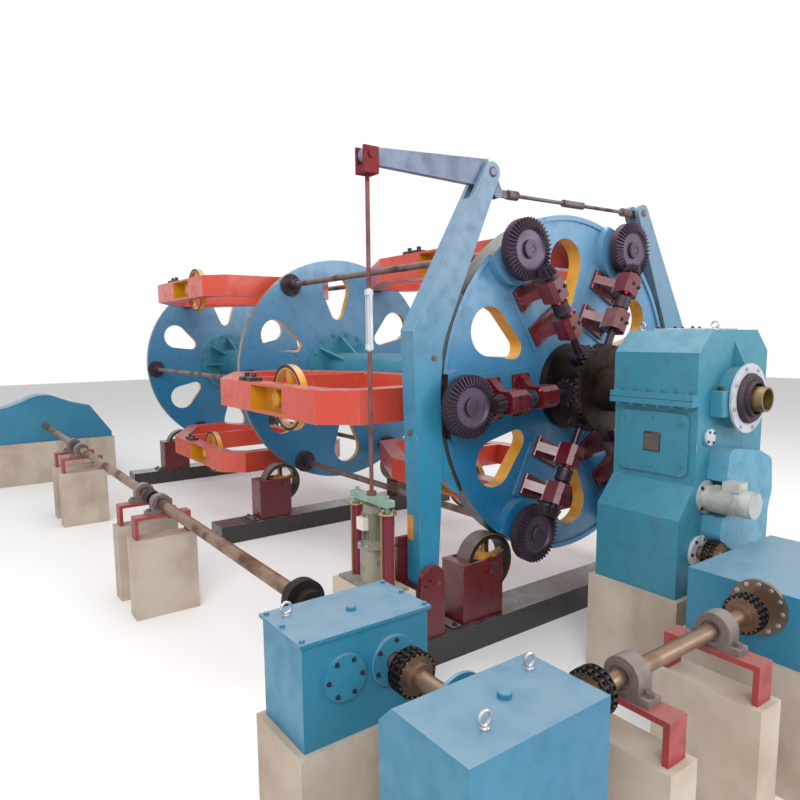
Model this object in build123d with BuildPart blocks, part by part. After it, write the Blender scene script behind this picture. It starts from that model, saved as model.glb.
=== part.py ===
from build123d import *
import os
from math import atan2, cos, hypot, pi, radians, sin, sqrt

# Cage cabling machine with six back-twist cradles, in millimetres.
# +X runs along the machine towards its wire outlet, +Y to the right seen from there, +Z up.
# The origin lies on the floor, under the middle of the main gearbox.

# Levels
AXIS_HEIGHT = 1775.0
GROUND_LEVEL = 625.0
DRIVE_HEIGHT = 875.0

# Cage
DISC_RADIUS = 1250.0
PITCH_RADIUS = 1140.0
SPINDLES = 6
CAGE_TURN = 3.46
FRONT_DISC_X = -980.0
MIDDLE_DISC_X = -4306.0
REAR_DISC_X = -7753.0
FRONT_DISC_THICKNESS = 110.0
THIN_DISC_THICKNESS = 60.0
RIM_RING_WIDTH = 34.0
RIM_RING_HEIGHT = 16.0
HOLE_WIDE_POSITION = 919.0
HOLE_WIDE_RADIUS = 169.0
HOLE_NARROW_POSITION = 662.0
HOLE_NARROW_RADIUS = 80.0
DISC_BORE_RADIUS = 63.0
BOSS_RADIUS = 232.0
BOSS_HEIGHT = 66.0
ARM_PAD_WIDTH = 360.0
ARM_PAD_HEIGHT = 14.0
ARM_PAD_START = 440.0
ARM_PAD_END = 940.0

# Central tube and main shaft
TUBE_RADIUS = 206.0
TUBE_WALL = 16.0
TUBE_FLANGE_RADIUS = 437.0
TUBE_FLANGE_THICKNESS = 30.0
GUSSETS = 8
GUSSET_LENGTH = 330.0
GUSSET_THICKNESS = 20.0
GUSSET_EDGE = 40.0
HUB_RADIUS = 320.0
HUB_HEIGHT = 60.0
SHAFT_RADIUS = 88.0
SHAFT_END_RADIUS = 74.0
SHAFT_END_LENGTH = 96.0
SHAFT_CLEARANCE = 8.0
SHAFT_PROUD = 10.0

# Spindle rods and their bearings
ROD_RADIUS = 29.0
RUNNING_FIT = 0.05
BUSH_RADIUS = 78.0
BUSH_FLANGE_RADIUS = 104.0
BUSH_FLANGE_LENGTH = 36.0
BUSH_SEAT = 0.1
ROD_COLLAR_RADIUS = 52.0
ROD_COLLAR_LENGTH = 60.0
ROD_TAIL = 45.0
RUNNING_GAP = 6.0

# Cradles
CRADLE_FRONT_XS = (-4630.0, -1230.0)
CRADLE_CHAMFER = 212.0
CRADLE_SIDE = 1637.0
CRADLE_TAPER = 975.0
CRADLE_HALF_WIDTH = 788.0
CRADLE_FRONT_HALF_WIDTH = 576.0
CRADLE_REAR_HALF_WIDTH = 275.0
CRADLE_HEIGHT = 225.0
CRADLE_BEAM = 160.0
POCKET_LENGTH = 540.0
POCKET_SHIFT = 75.0
POCKET_DEPTH = 128.0
POCKET_EDGE = 18.0
CROSS_MEMBER = 60.0
PINTLE_BOSS_RADIUS = 62.0
PINTLE_BOSS_HEIGHT = 46.0
PINTLE_RADIUS = 40.0
PINTLE_REACH = 120.0
WHEEL_RADIUS = 250.0
WHEEL_RIM = 34.0
WHEEL_WIDTH = 56.0
WHEEL_WEB = 18.0
WHEEL_SPOKES = 3
WHEEL_SPOKE_WIDTH = 74.0
WHEEL_HUB_RADIUS = 70.0
WHEEL_GAP = 14.0

# Bevel gear train on the front disc
SUN_TEETH = 42
PINION_TEETH = 12
GEAR_PITCH_RADIUS = 206.0
GEAR_FACE = 66.0
SUN_PITCH_RADIUS = 312.0
SUN_FACE = 84.0
TRAIN_HEIGHT = 235.0
ADDENDUM = 0.78
DEDENDUM = 1.0
TOOTH_SHARE = 0.4
PRESSURE_SLOPE = 0.36
TOOTH_SINK = 3.0
ROOT_LIP = 2.5
GEAR_RIM = 60.0
GEAR_HUB_RADIUS = 62.0
GEAR_HUB_HEIGHT = 22.0
GEAR_WEB_SINK = 14.0
PINION_SHAFT_RADIUS = 28.0
COUPLING_RADIUS = 56.0
COUPLING_LENGTH = 92.0
OUTER_BRACKET_POSITION = 829.0
INNER_BRACKET_POSITION = 537.0
BRACKET_LENGTH = 154.0
BRACKET_BARREL = 74.0
BRACKET_FOOT_WIDTH = 300.0
BRACKET_FOOT_THICKNESS = 24.0
BRACKET_POCKET = 44.0
BRACKET_POCKET_MARGIN = 6.0
BRACKET_SHOULDER = 59.0
BRACKET_EDGE = 44.0
SUN_PLATE = 44.0
SLEEVE_RADIUS = 162.0

# Main gearbox
GEARBOX_LENGTH = 555.0
GEARBOX_HALF_WIDTH = 400.0
GEARBOX_TOP = 405.0
GEARBOX_CHAMFER_WIDTH = 143.0
GEARBOX_CHAMFER_HEIGHT = 130.0
FLANGE_HALF_HEIGHT = 35.0
FLANGE_REACH = 42.0
NECK_HALF_WIDTH = 381.0
SHOULDER_TOP = -500.0
SHOULDER_BOTTOM = -681.0
BODY_HALF_WIDTH = 537.0
NOSE_RADIUS = 186.0
NOSE_LENGTH = 84.0
NOSE_RING_RADIUS = 207.0
NOSE_RING_THICKNESS = 14.0
COVER_THICKNESS = 16.0
COVER_MARGIN = 46.0
COVER_CORNER = 40.0
WINDOW_SIZE = 110.0
WINDOW_THICKNESS = 6.0

# Gear guard and barring motor on the gearbox front
GUARD_OUTLINE = (
    (-225.0, -275.0),
    (137.0, -325.0),
    (287.0, -387.0),
    (312.0, -587.0),
    (200.0, -950.0),
    (-37.0, -950.0),
    (-300.0, -812.0),
)
GUARD_CORNER = 60.0
GUARD_DEPTH = 118.0
MOTOR_Y = -262.0
MOTOR_Z = -575.0
MOTOR_RADIUS = 75.0
MOTOR_LENGTH = 294.0
MOTOR_FLANGE_RADIUS = 100.0
MOTOR_FLANGE_THICKNESS = 14.0
MOTOR_NOTCH_GAP = 5.0
MOTOR_BOX_START = GUARD_DEPTH + MOTOR_NOTCH_GAP
MOTOR_BOX_SIZE = 96.0
MOTOR_BOX_HEIGHT = 52.0
MOTOR_BOX_SINK = 10.0

# Drive line at the machine's foot
LINE_SHAFT_Y = -2525.0
LINE_SHAFT_RADIUS = 40.0
OUTPUT_Y = -325.0
CROSS_SHAFT_X = 882.0
CROSS_SHAFT_RADIUS = 34.0
CHAIN_RADIUS = 78.0
CHAIN_WIDTH = 30.0
CHAIN_GAP = 6.0
CHAIN_HUB_RADIUS = 54.0
CHAIN_HUB_LENGTH = 124.0
CHAIN_X = 382.0
CROSS_COUPLING_YS = (-975.0, -2088.0)
DISC_FLANGE_RADIUS = 130.0
DISC_FLANGE_THICKNESS = 22.0
LINE_COLLAR_XS = (-6240.0, -3110.0)
LINE_COLLAR_LENGTH = 120.0
LINE_COLLAR_RADIUS = 62.0
FLANGE_COUPLING_X = -505.0
FLANGE_COUPLING_RADIUS = 105.0
FLANGE_COUPLING_WIDTH = 30.0
FLANGE_HUB_RADIUS = 68.0
FLANGE_HUB_LENGTH = 95.0
SHAFT_SEAT = 40.0

# Gearboxes of the drive line: low and high corners along X and Y, and the top above the shafts
BEVEL_BOX_X = (520.0, 1207.0)
BEVEL_BOX_Y = (-838.0, 50.0)
BEVEL_BOX_TOP = 90.0
CORNER_BOX_X = (670.0, 1095.0)
CORNER_BOX_Y = (-2875.0, -2275.0)
CORNER_BOX_TOP = 150.0
TRANSFER_BOX_X = (-80.0, 251.0)
TRANSFER_BOX_Y = (-2925.0, -2344.0)
TRANSFER_BOX_TOP = 180.0
REAR_BOX_X = (-9203.0, -8793.0)
REAR_BOX_HUMP = 455.0
REAR_BOX_OUTLINE = ((-937.0, 625.0), (-937.0, 700.0), (-640.0, 1137.0), (-430.0, 1187.0), (-225.0, 1267.0))
CORNER_BOX_CUT = 70.0
SPARE_COVER_Y = -2750.0
SPARE_COVER_RADIUS = 92.0
SPARE_COVER_THICKNESS = 16.0
LID = 14.0
LID_EDGE = 12.0

# Bearing stands
STAND_HALF_WIDTH = 215.0
STAND_DEPTH = 110.0
STAND_PLATE = 24.0
STAND_LEG = 26.0
BLOCK_HALF_WIDTH = 120.0
BLOCK_RADIUS = 78.0
BLOCK_LENGTH = 80.0
BLOCK_FOOT = 30.0
LINE_STAND_XS = (-6480.0, -6017.0, -3355.0, -2880.0)
CROSS_STAND_YS = (-1225.0, -1875.0)

# Support rollers under the discs
ROLLER_RADIUS = 212.0
ROLLER_WIDTH = 128.0
ROLLER_Y = 806.0
ROLLER_AXLE_RADIUS = 30.0
ROLLER_GAP = 0.3
ROLLER_RIM = 36.0
ROLLER_WEB = 22.0
ROLLER_HUB_RADIUS = 74.0
ROLLER_SPOKES = 5
ROLLER_SPOKE_WIDTH = 46.0
ROLLER_AXLE_TAIL = 12.0
JOINT_OVERLAP = 2.0
STAND_BOX_OUTER_Y = 1100.0
STAND_BOX_INNER_Y = 730.0
STAND_BOX_TOP = 612.0
STAND_BOX_DEPTH = 226.0
STAND_BOX_WALL = 16.0
BEAM_HEIGHT = 188.0
BEAM_DEPTH = 300.0
BEAM_HALF_LENGTH = 1560.0

# Brake
LEVER_X = -1010.0
LEVER_THICKNESS = 130.0
LEVER_INNER = 1278.0
LEVER_INNER_BEND = 1266.0
LEVER_OUTER_LOW = 1458.0
LEVER_OUTER_BEND = 1500.0
LEVER_PIN_Y = 1380.0
LEVER_PIN_Z = -1195.0
LEVER_FOOT_RADIUS = 78.0
LEVER_LOW_Z = -775.0
LEVER_BEND_Z = 325.0
LEVER_BEND_RISE = 96.0
LEVER_TOP_Y = 838.0
LEVER_TOP_RADIUS = 66.0
LEFT_TOP_Z = 1444.0
RIGHT_TOP_Z = 1350.0
SHOE_GAP = 7.0
SHOE_WIDTH = 96.0
SHOE_HALF_ANGLE = 31.0
SHOE_HEEL_Z = -512.0
SHOE_TIP = 12.0
SHOE_PLATE_TOP = 29.0
LINING_THICKNESS = 25.0
LINING_BLOCKS = 8
LINING_JOINT = 3.0
FORK_GAP = 6.0
FORK_REACH = 250.0
PIN_RADIUS = 22.0
PIN_TAIL = 10.0
OPEN_PIVOT_GAP = 3.0
PLAY = 0.5

# Brake linkage
ARM_END_Y = -1778.0
ARM_END_Z = 1420.0
ARM_THICKNESS = 50.0
ARM_TIP_HALF = 46.0
ARM_ROOT_HALF = 88.0
CRANK_BOSS_RADIUS = 60.0
CRANK_EYE_RADIUS = 38.0
CRANK_SLOT_RADIUS = 62.0
ROD_PIN_DROP = 112.0
ROD_PIN_OUT = 92.0
EYE_THICKNESS = 22.0
EYE_RADIUS = 36.0
TIE_PIN_RADIUS = 16.0
TIE_NECK_START = 110.0
TIE_NECK_HALF = 24.0
TIE_NECK_LENGTH = 90.0
TIE_NECK_RADIUS = 32.0
TIE_RADIUS = 13.0
TIE_BARREL_RADIUS = 26.0
TIE_BARREL_LENGTH = 220.0
CLEVIS_WALL = 18.0
CLEVIS_HALF = 50.0
CLEVIS_DROP = 104.0
CLEVIS_ROOM = 58.0
PULL_ROD_RADIUS = 13.0
PULL_ROD_END_Z = 1160.0
TURNBUCKLE_ZS = (2095.0, 2418.0)
TURNBUCKLE_END = 16.0
TURNBUCKLE_RADIUS = 26.0
TURNBUCKLE_STRAP = 9.0
NUT_RADIUS = 30.0
NUT_HEIGHT = 24.0

# Thruster and spring pots
CROSSHEAD_TOP = 1190.0
CROSSHEAD_HEIGHT = 40.0
CROSSHEAD_LENGTH = 400.0
CROSSHEAD_HALF_WIDTH = 32.0
CROSSHEAD_ROD_LENGTH = 230.0
CROSSHEAD_ROD_RADIUS = 13.0
POT_SPACING = 332.0
POT_RADIUS = 33.0
POT_TOP_Z = 1112.0
POT_BORE_DEPTH = 140.0
BASE_PLATE = 20.0
BASE_MARGIN = 30.0
BASE_HALF_WIDTH = 110.0
THRUSTER_RADIUS = 78.0
THRUSTER_FLANGE_RADIUS = 92.0
THRUSTER_FLANGE_THICKNESS = 24.0
THRUSTER_FLANGE_Z = 862.0
THRUSTER_MOTOR_RADIUS = 56.0
THRUSTER_TOP_Z = 1128.0
TERMINAL_BOX_REACH = 34.0
TERMINAL_BOX_HALF = 38.0
TERMINAL_BOX_Z = 985.0

# Lower bearings of the brake levers, and foundations
BRACKET_PLAY = 10.0
BRACKET_PLATE = 30.0
BRACKET_ROUND_RADIUS = 100.0
TALL_PLATE_OUTER = 1560.0
TALL_PLATE_TOP_OUTER = 1530.0
TALL_PLATE_TOP_INNER = 1420.0
TALL_PLATE_INNER = 1290.0
TALL_PLATE_TOP = -925.0
BLOCK_MARGIN = 30.0

GEARBOX_FRONT_X = GEARBOX_LENGTH / 2
GEARBOX_REAR_X = -GEARBOX_LENGTH / 2
SHAFT_END_X = GEARBOX_FRONT_X + NOSE_LENGTH + NOSE_RING_THICKNESS + SHAFT_END_LENGTH + SHAFT_PROUD
TRAIN_X = FRONT_DISC_X + TRAIN_HEIGHT
LINING_BACK = DISC_RADIUS + SHOE_GAP + LINING_THICKNESS
ROLLER_DROP = sqrt((DISC_RADIUS + ROLLER_RADIUS + ROLLER_GAP) ** 2 - ROLLER_Y ** 2)
DISCS = (
    ("front_disc", FRONT_DISC_X, FRONT_DISC_THICKNESS),
    ("middle_disc", MIDDLE_DISC_X, THIN_DISC_THICKNESS),
    ("rear_disc", REAR_DISC_X, THIN_DISC_THICKNESS),
)


def save(piece, name):
    """Label a finished piece and write its STEP file."""
    piece.part.label = name
    export_step(piece.part, f"parts/{name}.step")


def spindle_angle(number):
    """Angle of a spindle position about the machine's axis, in degrees."""
    return CAGE_TURN + number * 360 / SPINDLES


def spindle_centre(number):
    """Y and Z of a spindle axis, measured from the machine's axis."""
    angle = radians(spindle_angle(number))
    return PITCH_RADIUS * cos(angle), PITCH_RADIUS * sin(angle)


def axis_plane(x, y=0.0, z=0.0):
    """Plane across the machine at x, centred y beside and z above its axis, facing +X."""
    return Plane(origin=(x, y, AXIS_HEIGHT + z), x_dir=(0, 1, 0), z_dir=(1, 0, 0))


def egg_outline():
    """Lightening hole of a disc: a wide and a narrow circle joined by tangents."""
    with BuildSketch() as egg:
        with Locations((HOLE_WIDE_POSITION, 0)):
            Circle(HOLE_WIDE_RADIUS)
        with Locations((HOLE_NARROW_POSITION, 0)):
            Circle(HOLE_NARROW_RADIUS)
        make_hull()
    return egg.sketch


def make_disc(name, face_x, thickness):
    """One disc of the cage, with its lightening holes and bearing holes."""
    egg = egg_outline()
    front = name == "front_disc"
    with BuildPart() as disc:
        with BuildSketch(axis_plane(face_x - thickness)):
            Circle(DISC_RADIUS)
        extrude(amount=thickness)
        if front:
            with BuildSketch(axis_plane(face_x)):
                Circle(DISC_RADIUS)
                Circle(DISC_RADIUS - RIM_RING_WIDTH, mode=Mode.SUBTRACT)
            extrude(amount=RIM_RING_HEIGHT)
            with BuildSketch(axis_plane(face_x)):
                with PolarLocations(PITCH_RADIUS, SPINDLES, start_angle=CAGE_TURN):
                    Circle(BOSS_RADIUS)
                Circle(DISC_RADIUS, mode=Mode.INTERSECT)
            extrude(amount=BOSS_HEIGHT)
            with BuildSketch(axis_plane(face_x)):
                with PolarLocations((ARM_PAD_START + ARM_PAD_END) / 2, SPINDLES, start_angle=CAGE_TURN):
                    Rectangle(ARM_PAD_END - ARM_PAD_START, ARM_PAD_WIDTH)
            extrude(amount=ARM_PAD_HEIGHT)
        with BuildSketch(axis_plane(face_x - thickness)):
            with PolarLocations(0, SPINDLES, start_angle=CAGE_TURN + 180 / SPINDLES):
                add(egg)
            with PolarLocations(PITCH_RADIUS, SPINDLES, start_angle=CAGE_TURN):
                Circle(BUSH_RADIUS + BUSH_SEAT)
            Circle(DISC_BORE_RADIUS)
        extrude(amount=thickness + BOSS_HEIGHT, mode=Mode.SUBTRACT)
    save(disc, name)


def tube_length(rear_x, front_x):
    """Solid of the central tube between two discs, with a flange and gussets at each end."""
    with BuildPart() as tube:
        with BuildSketch(axis_plane(rear_x)):
            Circle(TUBE_RADIUS)
        extrude(amount=front_x - rear_x)
        for flange_x, inwards in ((rear_x, 1), (front_x, -1)):
            with BuildSketch(axis_plane(flange_x)):
                Circle(TUBE_FLANGE_RADIUS)
            extrude(amount=inwards * TUBE_FLANGE_THICKNESS)
            for number in range(GUSSETS):
                angle = radians(number * 360 / GUSSETS + CAGE_TURN)
                outwards = (0, cos(angle), sin(angle))
                across = (0, -sin(angle), cos(angle))
                rib = Plane(origin=(flange_x, 0, AXIS_HEIGHT), x_dir=outwards, z_dir=across)
                along = -1 if rib.y_dir.X * inwards < 0 else 1
                foot = along * (TUBE_FLANGE_THICKNESS - JOINT_OVERLAP)
                with BuildSketch(rib):
                    Polygon(
                        (TUBE_RADIUS - TUBE_WALL / 2, foot),
                        (TUBE_FLANGE_RADIUS - GUSSET_EDGE, foot),
                        (TUBE_FLANGE_RADIUS - GUSSET_EDGE, foot + along * GUSSET_EDGE / 2),
                        (TUBE_RADIUS - TUBE_WALL / 2, foot + along * GUSSET_LENGTH),
                        align=None,
                    )
                extrude(amount=GUSSET_THICKNESS / 2, both=True)
        with BuildSketch(axis_plane(rear_x)):
            Circle(TUBE_RADIUS - TUBE_WALL)
        extrude(amount=front_x - rear_x, mode=Mode.SUBTRACT)
    return tube.part


def make_tube():
    """Central tube of the cage, in two lengths between the three discs."""
    with BuildPart() as tube:
        add(tube_length(MIDDLE_DISC_X, FRONT_DISC_X - FRONT_DISC_THICKNESS))
        add(tube_length(REAR_DISC_X, MIDDLE_DISC_X - THIN_DISC_THICKNESS))
    save(tube, "central_tube")


def make_main_shaft():
    """Hollow main shaft from the front disc's hub through the main gearbox."""
    with BuildPart() as shaft:
        with BuildSketch(axis_plane(FRONT_DISC_X)):
            Circle(HUB_RADIUS)
        extrude(amount=HUB_HEIGHT)
        with BuildSketch(axis_plane(FRONT_DISC_X)):
            Circle(SHAFT_RADIUS)
        extrude(amount=SHAFT_END_X - SHAFT_END_LENGTH - FRONT_DISC_X)
        with BuildSketch(axis_plane(SHAFT_END_X - SHAFT_END_LENGTH)):
            Circle(SHAFT_END_RADIUS)
        extrude(amount=SHAFT_END_LENGTH)
        with BuildSketch(axis_plane(FRONT_DISC_X)):
            Circle(DISC_BORE_RADIUS)
        extrude(amount=SHAFT_END_X - FRONT_DISC_X, mode=Mode.SUBTRACT)
    save(shaft, "main_shaft")


def make_spindle_bearings():
    """Flanged bushes that carry the spindle rods in all three discs."""
    with BuildPart() as bushes:
        for name, face_x, thickness in DISCS:
            front_x = face_x + (BOSS_HEIGHT if name == "front_disc" else 0)
            rear_x = face_x - thickness
            for number in range(SPINDLES):
                y, z = spindle_centre(number)
                with BuildSketch(axis_plane(rear_x - BUSH_FLANGE_LENGTH, y, z)):
                    Circle(BUSH_FLANGE_RADIUS)
                extrude(amount=BUSH_FLANGE_LENGTH)
                with BuildSketch(axis_plane(rear_x - BUSH_FLANGE_LENGTH, y, z)):
                    Circle(BUSH_RADIUS)
                extrude(amount=front_x - rear_x + BUSH_FLANGE_LENGTH)
                with BuildSketch(axis_plane(rear_x - BUSH_FLANGE_LENGTH, y, z)):
                    Circle(ROD_RADIUS + RUNNING_FIT)
                extrude(amount=front_x - rear_x + BUSH_FLANGE_LENGTH, mode=Mode.SUBTRACT)
    save(bushes, "spindle_bearings")


def bevel_tooth(teeth, pitch_radius, mate_radius, face):
    """One straight bevel tooth, with the cones' common apex at the origin and the axis on +Z."""
    cone = atan2(pitch_radius, mate_radius)
    reach = hypot(pitch_radius, mate_radius)
    module = 2 * pitch_radius / teeth
    half = TOOTH_SHARE * module * pi / 2
    tip = ADDENDUM * module
    root = (DEDENDUM * module) + TOOTH_SINK
    towards = Vector(sin(cone), 0, cos(cone))
    with BuildPart() as tooth:
        for share in (1 - face / reach, 1.0):
            station = Plane(origin=towards * (reach * share), x_dir=(0, 1, 0), z_dir=towards)
            tip_half = share * (half - tip * PRESSURE_SLOPE)
            root_half = share * (half + root * PRESSURE_SLOPE)
            with BuildSketch(station):
                Polygon(
                    (-root_half, share * root),
                    (root_half, share * root),
                    (tip_half, -share * tip),
                    (-tip_half, -share * tip),
                    align=None,
                )
        loft(ruled=True)
    return tooth.part


def root_line(teeth, pitch_radius, mate_radius, face):
    """Radius and height of the root cone at the inner and the outer end of a bevel gear's teeth."""
    reach = hypot(pitch_radius, mate_radius)
    depth = DEDENDUM * 2 * pitch_radius / teeth / reach
    cone = atan2(pitch_radius, mate_radius)
    ends = []
    for share in (1 - (face + ROOT_LIP) / reach, 1 + ROOT_LIP / reach):
        radius = share * reach * (sin(cone) - depth * cos(cone))
        height = share * reach * (cos(cone) + depth * sin(cone))
        ends.append((radius, height))
    return ends


def gear_pinion_radius():
    """Pitch radius of the outer pinions, from the tooth counts."""
    return GEAR_PITCH_RADIUS * PINION_TEETH / SUN_TEETH


def sun_pinion_radius():
    """Pitch radius of the inner pinions, from the tooth counts."""
    return SUN_PITCH_RADIUS * PINION_TEETH / SUN_TEETH


def make_spindle_gear():
    """Big bevel gear with its hub, apex at the origin and axis on +Z."""
    pinion = gear_pinion_radius()
    tooth = bevel_tooth(SUN_TEETH, GEAR_PITCH_RADIUS, pinion, GEAR_FACE)
    inner, outer = root_line(SUN_TEETH, GEAR_PITCH_RADIUS, pinion, GEAR_FACE)
    back = pinion + GEAR_RIM
    web = inner[1] + GEAR_WEB_SINK
    with BuildPart() as gear:
        with BuildSketch(Plane.XZ):
            Polygon(
                (0, back),
                (outer[0], back),
                outer,
                inner,
                (inner[0] - GEAR_WEB_SINK, web),
                (GEAR_HUB_RADIUS, web),
                (GEAR_HUB_RADIUS, web - GEAR_HUB_HEIGHT),
                (0, web - GEAR_HUB_HEIGHT),
                align=None,
            )
        revolve(axis=Axis.Z)
        with PolarLocations(0, SUN_TEETH):
            add(tooth)
    return gear.part


def make_pinion(pitch_radius, mate_radius, face):
    """Bevel pinion with a tooth gap at angle zero, apex at the origin and axis on +Z."""
    tooth = bevel_tooth(PINION_TEETH, pitch_radius, mate_radius, face)
    inner, outer = root_line(PINION_TEETH, pitch_radius, mate_radius, face)
    with BuildPart() as pinion:
        with BuildSketch(Plane.XZ):
            Polygon((0, inner[1]), inner, outer, (0, outer[1]), align=None)
        revolve(axis=Axis.Z)
        with PolarLocations(0, PINION_TEETH, start_angle=180 / PINION_TEETH):
            add(tooth)
    return pinion.part


def arm_direction(number):
    """Unit vector from the machine's axis towards a spindle."""
    angle = radians(spindle_angle(number))
    return Vector(0, cos(angle), sin(angle))


def make_spindle(number, gear):
    """Rod of one spindle with its bevel gear at the front, broken at the cradle."""
    y, z = spindle_centre(number)
    inwards = arm_direction(number) * -1
    gear_plane = Plane(origin=(TRAIN_X, y, AXIS_HEIGHT + z), x_dir=inwards, z_dir=(-1, 0, 0))
    cradle_front = cradle_front_x(number)
    cradle_rear = cradle_front - cradle_length()
    gear_back_x = TRAIN_X - gear_pinion_radius() - GEAR_RIM
    rear_end_x = REAR_DISC_X - THIN_DISC_THICKNESS - BUSH_FLANGE_LENGTH - ROD_TAIL
    with BuildPart() as spindle:
        with Locations(gear_plane):
            add(gear)
        with BuildSketch(axis_plane(gear_back_x, y, z)):
            Circle(ROD_RADIUS)
        extrude(amount=cradle_front - gear_back_x)
        with BuildSketch(axis_plane(cradle_front, y, z)):
            Circle(ROD_COLLAR_RADIUS)
        extrude(amount=ROD_COLLAR_LENGTH)
        with BuildSketch(axis_plane(rear_end_x, y, z)):
            Circle(ROD_RADIUS)
        extrude(amount=cradle_rear - rear_end_x)
        with BuildSketch(axis_plane(cradle_rear, y, z)):
            Circle(ROD_COLLAR_RADIUS)
        extrude(amount=-ROD_COLLAR_LENGTH)
    save(spindle, f"spindle_{number + 1}")


def cradle_length():
    """Length of a cradle between its end faces."""
    return CRADLE_CHAMFER + CRADLE_SIDE + CRADLE_TAPER


def cradle_front_x(number):
    """X of a cradle's front face: odd positions sit in the front section, even ones behind."""
    return CRADLE_FRONT_XS[number % 2]


def cradle_outline():
    """Outline of a cradle as seen from above, the left half mirrored from the right."""
    half = [
        (0, CRADLE_FRONT_HALF_WIDTH),
        (-CRADLE_CHAMFER, CRADLE_HALF_WIDTH),
        (-CRADLE_CHAMFER - CRADLE_SIDE, CRADLE_HALF_WIDTH),
        (-cradle_length(), CRADLE_REAR_HALF_WIDTH),
    ]
    return half + [(x, -y) for x, y in reversed(half)]


def make_cradle(number):
    """One cradle: eight-sided ring, pockets with pintles, cross member and one brake wheel."""
    y, z = spindle_centre(number)
    front_x = cradle_front_x(number)
    low_z = AXIS_HEIGHT + z - CRADLE_HEIGHT / 2
    base = Plane(origin=(front_x, y, low_z), x_dir=(1, 0, 0), z_dir=(0, 0, 1))
    middle_x = -CRADLE_CHAMFER - CRADLE_SIDE / 2 + POCKET_SHIFT
    cross_x = -CRADLE_CHAMFER - CRADLE_SIDE + CROSS_MEMBER
    inner_half = CRADLE_HALF_WIDTH - CRADLE_BEAM
    pocket_y = CRADLE_HALF_WIDTH - POCKET_DEPTH / 2
    spoke = WHEEL_RADIUS - WHEEL_RIM + JOINT_OVERLAP
    with BuildPart() as cradle:
        with BuildSketch(base):
            Polygon(*cradle_outline(), align=None)
            offset(amount=-CRADLE_BEAM, kind=Kind.INTERSECTION, mode=Mode.SUBTRACT)
            with Locations((cross_x, 0)):
                Rectangle(CROSS_MEMBER, 2 * (inner_half + JOINT_OVERLAP))
        extrude(amount=CRADLE_HEIGHT)
        with BuildSketch(base.offset(POCKET_EDGE)):
            with Locations((middle_x, pocket_y), (middle_x, -pocket_y)):
                Rectangle(POCKET_LENGTH, POCKET_DEPTH)
        extrude(amount=CRADLE_HEIGHT - 2 * POCKET_EDGE, mode=Mode.SUBTRACT)
        for side in (-1, 1):
            floor_y = y + side * (CRADLE_HALF_WIDTH - POCKET_DEPTH)
            boss = Plane(
                origin=(front_x + middle_x, floor_y, AXIS_HEIGHT + z),
                x_dir=(1, 0, 0),
                z_dir=(0, side, 0),
            )
            with BuildSketch(boss):
                Circle(PINTLE_BOSS_RADIUS)
            extrude(amount=PINTLE_BOSS_HEIGHT)
            with BuildSketch(boss.offset(POCKET_DEPTH - CRADLE_BEAM)):
                Circle(PINTLE_RADIUS)
            extrude(amount=-PINTLE_REACH)
        wheel = Plane(
            origin=(front_x + middle_x, y - inner_half + WHEEL_GAP, AXIS_HEIGHT + z),
            x_dir=(1, 0, 0),
            z_dir=(0, -1, 0),
        )
        with BuildSketch(wheel):
            Circle(WHEEL_RADIUS)
            Circle(WHEEL_RADIUS - WHEEL_RIM, mode=Mode.SUBTRACT)
            Circle(WHEEL_HUB_RADIUS)
        extrude(amount=-WHEEL_WIDTH)
        with BuildSketch(wheel.offset(-(WHEEL_WIDTH - WHEEL_WEB) / 2)):
            with PolarLocations(spoke / 2, WHEEL_SPOKES, start_angle=90):
                Rectangle(spoke, WHEEL_SPOKE_WIDTH)
        extrude(amount=-WHEEL_WEB)
    save(cradle, f"cradle_{number + 1}")


def make_pinion_shaft(number, outer_pinion, inner_pinion):
    """Radial shaft with a pinion at each end and a coupling in the middle."""
    outwards = arm_direction(number)
    inwards = outwards * -1
    hub = Vector(TRAIN_X, 0, AXIS_HEIGHT)
    outer_plane = Plane(origin=hub + outwards * PITCH_RADIUS, x_dir=(-1, 0, 0), z_dir=inwards)
    inner_plane = Plane(origin=hub, x_dir=(1, 0, 0), z_dir=outwards)
    start = SUN_PITCH_RADIUS - SUN_FACE / 2
    end = PITCH_RADIUS - GEAR_PITCH_RADIUS + GEAR_FACE / 2
    middle = (OUTER_BRACKET_POSITION + INNER_BRACKET_POSITION) / 2
    with BuildPart() as shaft:
        with BuildSketch(inner_plane.offset(start)):
            Circle(PINION_SHAFT_RADIUS)
        extrude(amount=end - start)
        with BuildSketch(inner_plane.offset(middle - COUPLING_LENGTH / 2)):
            Circle(COUPLING_RADIUS)
        extrude(amount=COUPLING_LENGTH)
        with Locations(outer_plane):
            add(outer_pinion)
        with Locations(inner_plane):
            add(inner_pinion)
    save(shaft, f"pinion_shaft_{number + 1}")


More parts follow.
